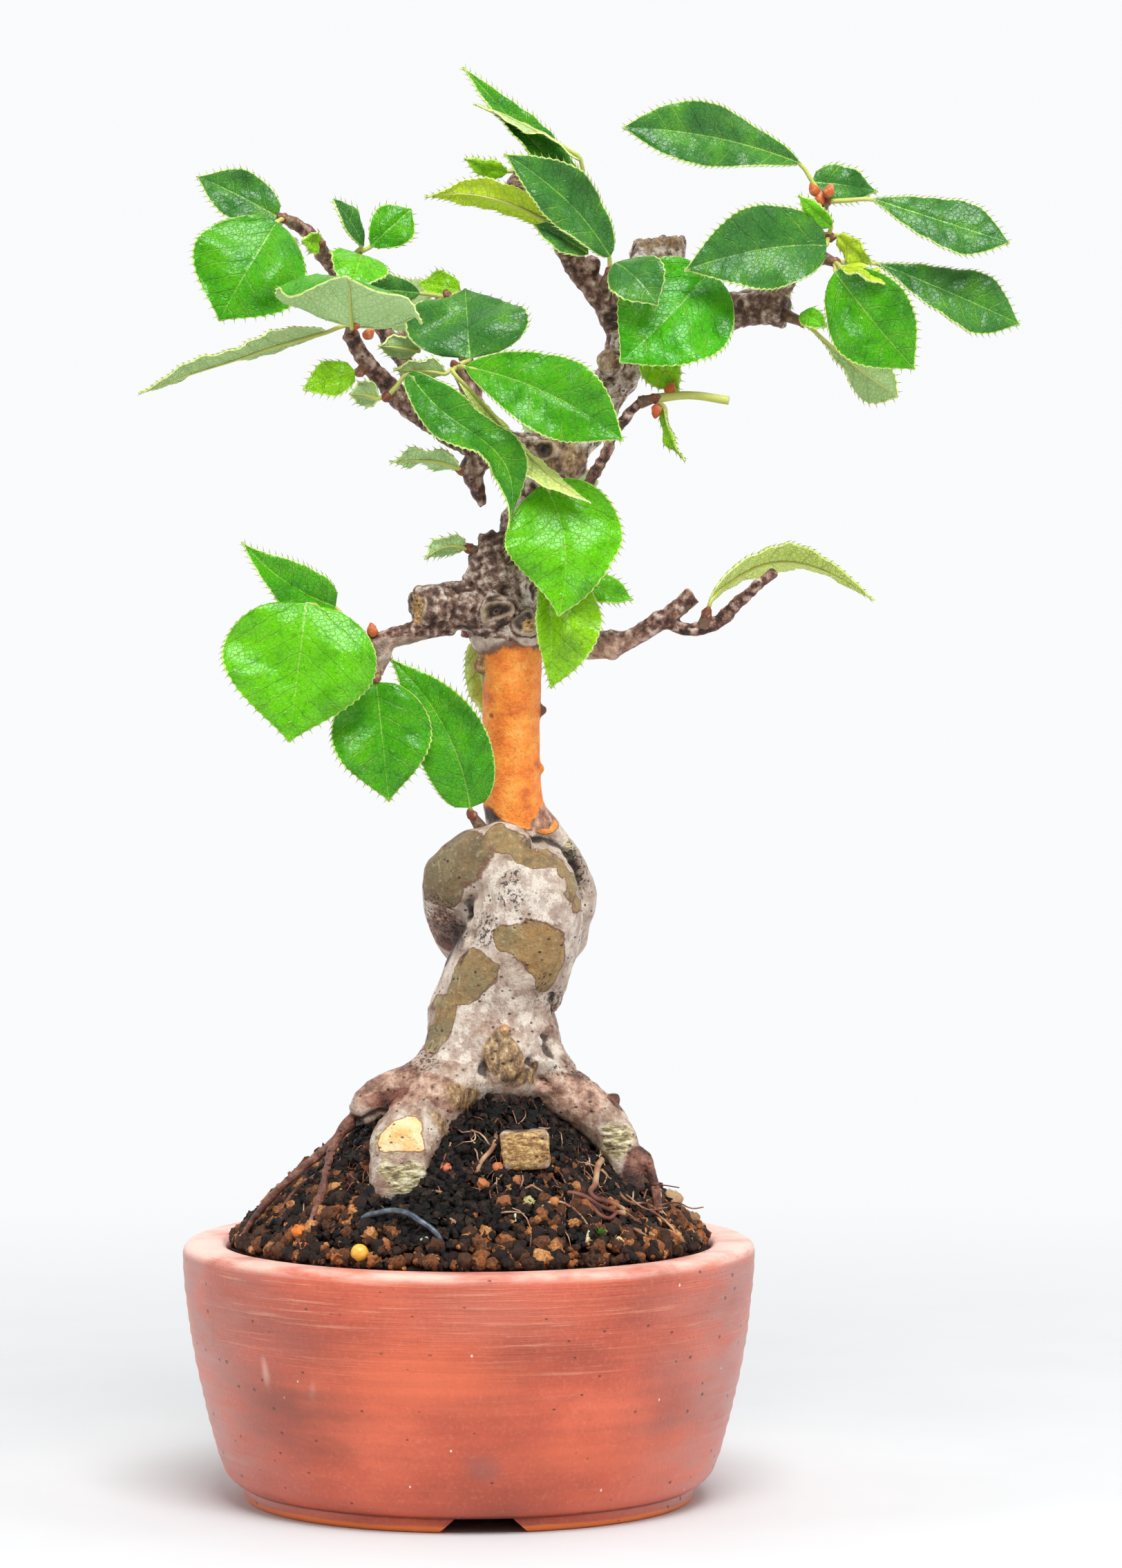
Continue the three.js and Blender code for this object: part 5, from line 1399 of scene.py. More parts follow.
def scatter(name, shapes, count, sizes, radii, lift, seed, keep):
    """Strew grains over a ring of the mound, and give each its own tint."""
    rng = np.random.default_rng(seed)
    rows, tints = [], []
    while len(rows) < count:
        radius = math.sqrt(rng.uniform(radii[0] ** 2, radii[1] ** 2))
        size = rng.uniform(*sizes)
        radius = min(radius, SOIL_RADIUS - 0.5 * size)
        spot = on_mound(radius, rng.uniform(0, 2 * math.pi), lift * size)
        number = int(rng.integers(len(shapes)))
        turn = turned(rng) * size * MM
        tint = rng.random()
        if inside_wood(spot, 0.15 * size * MM) or not keep(spot, rng.random()):
            continue
        rows.append((number, turn, np.array(spot)))
        tints.extend([tint] * len(shapes[number][0]))
    piece = copies(name, shapes, rows)
    paint(piece, "tint", tints)
    return piece


print("peat from the crown to the rim", [round(peaty(on_mound(radius, 0, 0)), 2) for radius in (5, 20, 40)])

# %% Scatter the grains and finish them
def grain_finish(name, rough, gloss, *stops):
    """A gritty finish whose tone changes from one grain to the next."""
    look = Finish(name, Roughness=rough, Specular_IOR_Level=gloss)
    grit = look.noise(0.6, 4, rough=0.7)
    look.colour = (look.attribute("tint") * 0.65 + grit * 0.5).ramp(*stops)
    look.relief(grit, 0.3)
    look.relief(look.noise(0.22, 2), 0.1)
    return look.finish()


grains = scatter("clay_grains", grain_shapes, count=760, sizes=(1.6, 3.1), radii=(12, 41.2), lift=-0.1,
                 seed=3, keep=lambda spot, chance: chance > 0.06 + peaty(spot))
crumbs = scatter("clay_crumbs", crumb_shapes, count=3000, sizes=(0.6, 1.7), radii=(12, 41.4), lift=0.05,
                 seed=4, keep=lambda spot, chance: chance > peaty(spot))
peat = scatter("peat_clods", clod_shapes, count=3800, sizes=(0.5, 2), radii=(3, 38), lift=0.05,
               seed=5, keep=lambda spot, chance: chance < 0.12 + peaty(spot))
clay_look = grain_finish("baked_clay_grains", 0.7, 0.3, (0.25, 18, 11, 8), (0.48, 46, 28, 19),
                         (0.68, 88, 52, 30), (0.84, 158, 94, 48), (0.97, 226, 170, 108))
clod_look = grain_finish("peat_clod", 0.5, 0.24, (0.2, 4, 3, 2), (0.6, 14, 10, 8), (0.9, 52, 36, 27),
                         (1, 130, 96, 64))
for piece, look in ((grains, clay_look), (crumbs, clay_look), (peat, clod_look)):
    dress(piece, look, smooth_below=65)

# %% [markdown]
# ### Fine roots
# The surface roots end in a tangle of hair roots that creep over the grains. Most are short curves
# that wander downhill, with thin dark fibres between them. The few that catch the eye are listed:
# each row gives its thickness and the places that it passes on the front view, and how high it lies
# over the mound. The depth is found where the line of sight meets the soil.

# %% Let the fine roots wander
ROOT_STEPS = 6


def wandering_root(rng, radius, turn, heading, length, thick):
    """Places and radii of a hair root that creeps downhill."""
    run = []
    stride = length / (ROOT_STEPS - 1)
    for step in range(ROOT_STEPS):
        lift = 0.3 + 0.6 * abs(rng.normal()) * (0 < step < ROOT_STEPS - 1)
        run.append((on_mound(radius, turn, lift if step else -0.6), thick * (1 - 0.12 * step) * MM))
        heading += rng.normal(0, 0.5)
        radius = min(radius + stride * math.cos(heading), 40.6)
        turn += stride * math.sin(heading) / max(radius, 5)
    return run


def fine_roots(name, count, radii, turns, lengths, thick, seed, sides=6):
    rng = np.random.default_rng(seed)
    runs = [wandering_root(rng, rng.uniform(*radii), rng.uniform(*turns), rng.normal(0, 0.9),
                           rng.uniform(*lengths), rng.uniform(*thick)) for _ in range(count)]
    return tubes(name, runs, sides=sides, steps=2)


ALL_ROUND = (0, 2 * math.pi)
FRONT_RIGHT = (-1.5, -0.35)
wandering = [
    fine_roots("hair_roots_all", count=80, radii=(9, 33), turns=ALL_ROUND, lengths=(5, 13),
               thick=(0.1, 0.2), seed=21),
    fine_roots("hair_roots_front", count=44, radii=(19, 34), turns=FRONT_RIGHT, lengths=(6, 15),
               thick=(0.12, 0.28), seed=22),
    fine_roots("peat_fibres", count=460, radii=(5, 30), turns=ALL_ROUND, lengths=(1.5, 4.5),
               thick=(0.05, 0.1), seed=23, sides=4),
]
print("faces of the wandering roots", sum(len(piece.data.polygons) for piece in wandering))

# %% Lay the roots that catch the eye
LAID_ROOTS = [
    [0.5, (4.9, 63.9, -0.4), (4, 60.8, 1.2), (2, 58.4, 1.4), (0.9, 55.5, 0.2)],
    [0.22, (-3.2, 61.8, 0.2), (-4.6, 58.4, 0.9), (-5.6, 54.6, 0.2)],
    [0.6, (24, 59.3, 0), (22.3, 57.8, 1.6), (21.8, 54.6, 1.8), (21.2, 52.7, 1.6), (25, 51.2, 1.4),
     (28.2, 49.4, 0)],
    [0.52, (16.2, 53.2, 0.2), (19.6, 52.6, 1.4), (22.6, 50.8, 1.6), (28.6, 48.8, 0.2)],
    [0.38, (28.2, 47, 0.2), (30.2, 45.8, 1), (32, 44.6, 0.2)],
    [0.55, (29.6, 59.4, 1), (31.2, 58.4, 1.8), (31.6, 55, 1.6), (33, 52.6, 1.2), (31, 51.6, 0)],
    [0.2, (3.8, 49.2, 0.4), (7.2, 49.8, 1.2), (10.6, 49.2, 0.2)],
    [0.3, (-7, 53.6, 0.4), (-4.8, 53.2, 0.9)],
    [0.24, (-5.2, 49.8, 0.2), (-2.2, 47.8, 0.9), (-1, 46.6, 0)],
    [0.45, (-30.4, 46.4, 0.2), (-29.4, 44.6, 1.2), (-27.8, 42.8, 0.2)],
    [0.2, (-22.8, 57.4, 0.2), (-20.4, 56, 0.9), (-18.4, 54, 0.2)],
    [0.42, (-25.2, 57, 0.6), (-30, 53.6, 1), (-33, 49.8, 1), (-35.2, 47.8, 0)],
    [0.4, (20.6, 51.6, 1), (23.4, 48.8, 1.4), (26.4, 49.8, 0.8), (30, 47.4, 0.2)],
    [0.28, (12, 50.4, 0.4), (15, 51.6, 1.4), (18.6, 49.8, 1.2), (21, 46.8, 0.2)],
    [0.2, (17.4, 56, 0.2), (18, 52.4, 1.2), (16.4, 49.6, 0.4)],
    [0.32, (25.6, 54.6, 0.4), (27.2, 51.8, 1.4), (30.6, 51.2, 1), (34.6, 48.8, 0)],
    [0.18, (26.8, 57, 0.2), (28.4, 53.6, 1.2), (27.8, 49.4, 0.3)],
]
STRAY_HAIRS = [
    [0.14, (31.4, 54.6, -12), (34, 54.4, -13), (36.4, 54, -12)],
    [0.17, (32.6, 50.8, -14), (36, 51.4, -15), (38.6, 50.4, -15.6), (40.6, 50.6, -15)],
    [0.14, (27.2, 52.8, -20), (31, 50.2, -21), (34.4, 50.6, -20)],
]


def on_slope(x, z, lift=0.0):
    """The place just above the front of the mound that is seen at x and z."""
    near, far = -SOIL_RADIUS, 0.0
    for _ in range(20):
        depth = (near + far) / 2
        spot = place(x, z, depth)
        local = (spot - POT_AXIS) / MM
        if local.z > float(mound(math.hypot(local.x, local.y))) + lift:
            near = depth
        else:
            far = depth
    return spot


def laid(rows, spot_of):
    """The run of one root from its rows, thinner towards its end."""
    thick, *spots = rows
    return [(spot_of(*spot), thick * (1 - 0.4 * step / len(spots)) * MM) for step, spot in enumerate(spots)]


print("laid roots", len(LAID_ROOTS), "stray hairs", len(STRAY_HAIRS))

# %% Join all the fine roots and finish them
laid_roots = tubes("laid_roots", [laid(rows, on_slope) for rows in LAID_ROOTS], sides=8, steps=5)
stray_hairs = tubes("stray_hairs", [laid(rows, place) for rows in STRAY_HAIRS], sides=6, steps=5)
hair_roots = joined(wandering + [laid_roots, stray_hairs], "hair_roots")

root_look = Finish("hair_root", Roughness=0.6)
root_look.colour = root_look.noise(6, 2).ramp(
    (0.32, 70, 30, 24), (0.46, 122, 66, 46), (0.56, 160, 116, 84), (0.68, 206, 176, 140))
root_look.relief(root_look.noise(0.4, 2), 0.08)
dress(hair_roots, root_look.finish())

# %% [markdown]
# ### Odd grains and a seedling
# What falls on a pot stays there: flakes of pale bark, an orange grain, a pale lump at the rim and
# a weed seedling with its first leaves. They are the same broken grain, flattened or stretched,
# and each has its own colour. The seedling is a few pointed blades that lean outwards.

# %% Drop the odd grains
ODD_GRAINS = [
    (-29.2, 46, (2.2, 2.2, 3), rgb(236, 130, 40)), (-28.8, 43.6, (1.4, 1.4, 1.8), rgb(226, 104, 50)),
    (-12.8, 50.4, (1, 1, 0.9), rgb(206, 96, 50)), (-3.9, 57.4, (1.4, 1.3, 1.8), rgb(214, 112, 76)),
    (5.1, 57.4, (1.7, 1.5, 1.8), rgb(206, 118, 70)), (20.6, 45.2, (2.8, 1.6, 0.7), rgb(226, 226, 178)),
    (26, 44.6, (3.2, 1.6, 0.8), rgb(240, 224, 158)), (7.8, 48.6, (2, 1.2, 0.6), rgb(216, 222, 178)),
    (10.4, 51.6, (1.9, 1.6, 1.2), rgb(178, 172, 108)), (-8, 45, (1.6, 1.2, 0.7), rgb(196, 206, 178)),
    (35, 51.8, (4, 3.4, 3.2), rgb(186, 150, 108)), (38.6, 48.6, (2.4, 2.2, 2.2), rgb(156, 116, 76)),
    (2.4, 54.6, (2, 1.9, 1.7), rgb(190, 112, 58)), (8, 55, (2.1, 2, 1.7), rgb(172, 108, 62)),
    (14.8, 51.4, (1.9, 1.8, 1.7), rgb(196, 124, 66)), (6, 51.4, (2.4, 2.2, 2), rgb(150, 86, 46)),
]


def odd_grains():
    """Grains of one shape or another, each with its own size and tone."""
    rng = np.random.default_rng(31)
    rows, tones = [], []
    for x, z, size, tone in ODD_GRAINS:
        number = int(rng.integers(len(grain_shapes)))
        spot = on_slope(x, z, 0.3 + 0.25 * size[2])
        rows.append((number, turned(rng) @ np.diag(size) * MM, np.array(spot)))
        tones += [tone] * len(grain_shapes[number][0])
    piece = copies("odd_grains", grain_shapes, rows)
    paint(piece, "tone", tones)
    return piece


dropped = odd_grains()
print("odd grains", len(ODD_GRAINS))

# %% Raise the seedling and finish the litter
SEEDLING = (22.6, 45.6)
SEEDLING_BLADES = [(-70, 35), (-10, 60), (60, 40), (120, 65), (-140, 55), (20, 30)]
BLADE_SIZE = (0.7, 0.16, 1.9)


def seedling():
    """A few pointed blades, each a squashed and pulled ball."""
    bpy.ops.mesh.primitive_uv_sphere_add(segments=8, ring_count=6, radius=0.5)
    ball = bpy.context.object
    points = points_of(ball) + np.array([0, 0, 0.5])
    points[:, 0] *= np.sin(math.pi * np.clip(points[:, 2], 0.05, 1)) + 0.1
    move_points(ball, points * np.array(BLADE_SIZE))
    root = np.array(on_slope(*SEEDLING, 0.4))
    rows = []
    for turn, lean in SEEDLING_BLADES:
        tilt = Matrix.Rotation(math.radians(turn), 3, "Z") @ Matrix.Rotation(math.radians(lean), 3, "X")
        rows.append((0, np.array(tilt) * MM, root))
    piece = copies("seedling", [taken_shape(ball)], rows)
    paint_whole(piece, "tone", rgb(70, 150, 24))
    return piece


litter = joined([dropped, seedling()], "soil_litter")
litter_look = Finish("soil_litter", Roughness=0.6)
crust = litter_look.noise(0.5, 4, rough=0.7)
tone = litter_look.attribute("tone", "Color")
litter_look.colour = litter_look.mix(crust.mask(0.5, 0.3), tone, litter_look.mix(0.5, tone, rgb(90, 50, 26)))
litter_look.relief(crust, 0.2)
dress(litter, litter_look.finish(), smooth_below=65)

# %% [markdown]
# ## Leaves
# A quince leaf is a thin, glossy blade, folded a little along its midrib, puckered between its
# side veins, and edged with fine teeth that end in pale bristles. A grid is a good start, because
# its rows can carry the teeth and its columns the fold. The grid's points are moved to the same
# folded and curved form as the blade of the frame, then Solidify gives the blade its thickness and
# a paler underside.

# %% The form of a blade
PLAIN_LEAF = {"turn": 0, "fold": 12, "arch": 0.06, "bend": 0, "sway": 0, "twist": 0, "wave": 0.4,
              "widest": 0.42, "lean": 0, "warp": 0.42, "tone": "green", "under": "pale"}
NARROWEST = 0.22


def leaf_frame(leaf):
    """The directions of a blade: along it, across it and out of its upper face."""
    base, tip = (in_mm(place(*leaf[end])) for end in ("base", "tip"))
    length = np.linalg.norm(tip - base)
    along = (tip - base) / length
    facing = unit(np.array(EYE) - base)
    facing = unit(facing - along * (facing @ along))
    turn = math.radians(leaf["turn"])
    facing = facing * math.cos(turn) + np.cross(along, facing) * math.sin(turn)
    return base, along, facing, np.cross(along, facing), length


def midrib(leaf, u):
    """The middle line of a blade, arched, bent and swayed, at shares u of its length."""
    base, along, facing, side, length = leaf_frame(leaf)
    u = np.asarray(u)[:, None]
    hump = 4 * u * (1 - u)
    drift = leaf["bend"] * hump + leaf["sway"] * np.sin(2 * math.pi * u)
    return base + length * (u * along + facing * leaf["arch"] * hump + side * drift)


def half_width(leaf, u):
    peak = math.log(0.5) / math.log(leaf["widest"])
    swell = np.sin(math.pi * u ** peak)
    return np.maximum(leaf["width"] / 2 * swell ** (0.55 + 0.55 * u), NARROWEST)


def blade_rows(leaf, u):
    """The middle, the direction across, the upward direction and the heading of each row."""
    _, along, facing, side, _ = leaf_frame(leaf)
    heading = unit(midrib(leaf, u + 0.01) - midrib(leaf, u - 0.01))
    roll = np.radians(leaf["twist"]) * (u - 0.5)[:, None]
    across = side * np.cos(roll) - facing * np.sin(roll)
    face = unit(np.cross(across, heading))
    return midrib(leaf, u), np.cross(heading, face), face, heading


print("values of a leaf", ", ".join(PLAIN_LEAF))

# %% [markdown]
# ### From a grid to a blade
# The grid has two rows for each tooth, so that every second row can reach out. Its columns lie
# closer near the midrib and the edge, where the blade changes quickest. The height of a point over
# the flat blade is a sum: the fold, the ripples of the edge, a slow warp, and the quilting between
# the side veins.

# %% Start a blade as a grid
HALF_COLUMNS = np.array([0, 0.06, 0.2, 0.36, 0.52, 0.68, 0.84, 0.94, 1])
COLUMNS = np.concatenate([-HALF_COLUMNS[:0:-1], HALF_COLUMNS])


def blade_grid(rows):
    """A grid, and the row and column of each of its points."""
    bpy.ops.mesh.primitive_grid_add(x_subdivisions=len(COLUMNS) - 1, y_subdivisions=rows, size=1)
    piece = bpy.context.object
    grid = points_of(piece)
    column = np.rint((grid[:, 0] + 0.5) * (len(COLUMNS) - 1)).astype(int)
    row = np.rint((grid[:, 1] + 0.5) * rows).astype(int)
    return piece, row, column


print("columns of a blade", len(COLUMNS))

# %% Work out how far each point of a blade is lifted
FRILL_HEIGHT = 0.22
FRILL_PITCH = 4.3
VEIN_PITCH = 3.1
VEIN_SLANT = 0.75
GROOVE_WIDTH = 0.45


def blade_lift(leaf, number, u, v, along_mm, across_mm, half):
    """The height of each point over the flat blade, in millimetres."""
    hump = np.sin(math.pi * u)
    out = np.abs(v)
    hand = np.where(v < 0, -1, 1)
    ripple = leaf["wave"] * np.sin(4 * math.pi * u + hand) * hump
    start = np.random.default_rng(number).random()
    frill = FRILL_HEIGHT * np.sin(2 * math.pi * (along_mm / FRILL_PITCH + start) + 2 * hand) * hump
    lift = half * math.sin(math.radians(leaf["fold"])) * out ** 1.2 + (ripple + frill) * out ** 1.6

    slow = np.array([noise.noise(Vector((1.9 * a, 1.3 * b, 7.7 * number))) for a, b in zip(u, v)])
    lift += leaf["warp"] * half * slow * (0.3 + out) * hump ** 0.6
    crisp = np.array([noise.noise(Vector((a / 1.1, b / 1.1, number))) for a, b in zip(along_mm, across_mm)])
    quilt = np.sin(math.pi * (along_mm - VEIN_SLANT * np.abs(across_mm)) / VEIN_PITCH) ** 2
    quilt *= np.sin(math.pi * out) ** 0.7
    groove = np.exp(-(across_mm / GROOVE_WIDTH) ** 2) * hump ** 0.5
    return lift + np.clip(half / 5, 0, 1) * (0.2 * quilt + 0.12 * crisp) - 0.2 * groove - 0.3 * out ** 6


print("side veins are", VEIN_PITCH, "mm apart")

# %% Shape a grid into a blade
TOOTH_PITCH = 1.05
TOOTH_REACH = 0.27


def blade(leaf, number):
    """One leaf blade, its middle line, and the places and directions of its teeth."""
    length = leaf_frame(leaf)[4]
    rows = 2 * max(4, round(length / TOOTH_PITCH))
    piece, row, column = blade_grid(rows)
    steps = np.arange(rows + 1) / rows
    middle, across, face, heading = (part[row] for part in blade_rows(leaf, steps))
    u, v = steps[row], COLUMNS[column]
    hand = np.where(v < 0, -1, 1)
    half = half_width(leaf, steps)[row] * (1 - hand * leaf["lean"])
    along_mm, across_mm = u * length, v * half

    pointed = (row % 2) * np.sin(math.pi * np.clip(u, 0.04, 0.96)) ** 0.4
    tooth = TOOTH_REACH * pointed * np.clip((np.abs(v) - 0.9) / 0.1, 0, 1)
    lift = blade_lift(leaf, number, u, v, along_mm, across_mm, half)
    side_sheen_and_pits = across_mm * math.cos(math.radians(leaf["fold"])) + hand * tooth
    spots = middle + across * side_sheen_and_pits[:, None] + face * lift[:, None] + heading * (0.9 * tooth)[:, None]
    move_points(piece, from_mm(spots))

    paint_whole(piece, "tone", LEAF_TONES[leaf["tone"]])
    paint_whole(piece, "under_tone", LEAF_TONES[leaf["under"]])
    fields_of_blade = {"across_mm": across_mm, "along_mm": along_mm, "toward_tip": u,
                       "edge_mm": half * (1 - np.abs(v))}
    for name, values in fields_of_blade.items():
        paint(piece, name, values)
    tips = (row % 2 == 1) & (np.abs(v) == 1)
    points_out = unit(across[tips] * hand[tips][:, None] * 0.75 + heading[tips] + face[tips] * 0.1)
    spine = np.flatnonzero(v == 0)
    return piece, spots[spine[np.argsort(row[spine])]], spots[tips], points_out


print("teeth are", TOOTH_PITCH, "mm apart")

# %% Put a bristle on every tooth
BRISTLE_LENGTH = 0.85
BRISTLE_WIDTH = 0.1
BRISTLE_ROOT = 0.15
THIRDS = np.radians([0, 120, 240])


def bristles(spots, directions):
    """Thin three-sided spikes, one at each tooth."""
    points, faces = [], []
    for spot, direction in zip(spots, directions):
        across = unit(np.cross(direction, [0.3, 0.5, 0.8]))
        other = np.cross(direction, across)
        a, b, c, tip = range(len(points), len(points) + 4)
        root = spot - direction * BRISTLE_ROOT
        for angle in THIRDS:
            points.append(root + BRISTLE_WIDTH * (across * math.cos(angle) + other * math.sin(angle)))
        points.append(spot + direction * BRISTLE_LENGTH)
        faces += [(a, c, b), (a, b, tip), (b, c, tip), (c, a, tip)]
    return new_mesh("bristles", from_mm(points), faces)


print("a bristle in mm", BRISTLE_LENGTH, "long")

# %% [markdown]
# ### Shoots
# Leaves stand on short spurs. Each shoot has a spur that springs from the wood, a scaly bud at
# its heart, and a stalk for every leaf, which runs on as the midrib under the blade. The rows say
# where the blade starts and ends, how wide it is, and how it is turned, folded and bent. The tone
# is the colour of the leaf: young growth is yellow, grown leaves are deep green, and a leaf that
# is seen from below is pale. Two leaves also carry painted light in their tone: a brighter green
# on a leaf that another leaf shades, and a pale straw on the leaf behind the neck, for the light
# that shines through it from behind.

# %% The tones of leaves, stalks and buds
LEAF_TONES = {
    "green": rgb(68, 156, 6),
    "bright": rgb(100, 190, 6),
    "lime": rgb(142, 204, 16),
    "deep": rgb(60, 120, 46),
    "mid": rgb(62, 138, 26),
    # A green made brighter, as painted light, for a leaf that another leaf shades.
    "fresh": rgb(66, 166, 8),
    "yellow": rgb(196, 218, 44),
    "straw": rgb(216, 232, 130),
    "pale": rgb(176, 200, 138),
    "dusky": rgb(188, 216, 154),
    "stalk": rgb(190, 196, 96),
    "bristle": rgb(122, 136, 62),
    "spur": rgb(112, 84, 66),
    "bud": rgb(120, 62, 44),
    "ember": rgb(196, 92, 40),
}
print("tones", ", ".join(LEAF_TONES))

# %% The leaves of every shoot
def leaf_row(base, tip, width, tone="green", **form):
    return {**PLAIN_LEAF, "base": base, "tip": tip, "width": width, "tone": tone, **form}


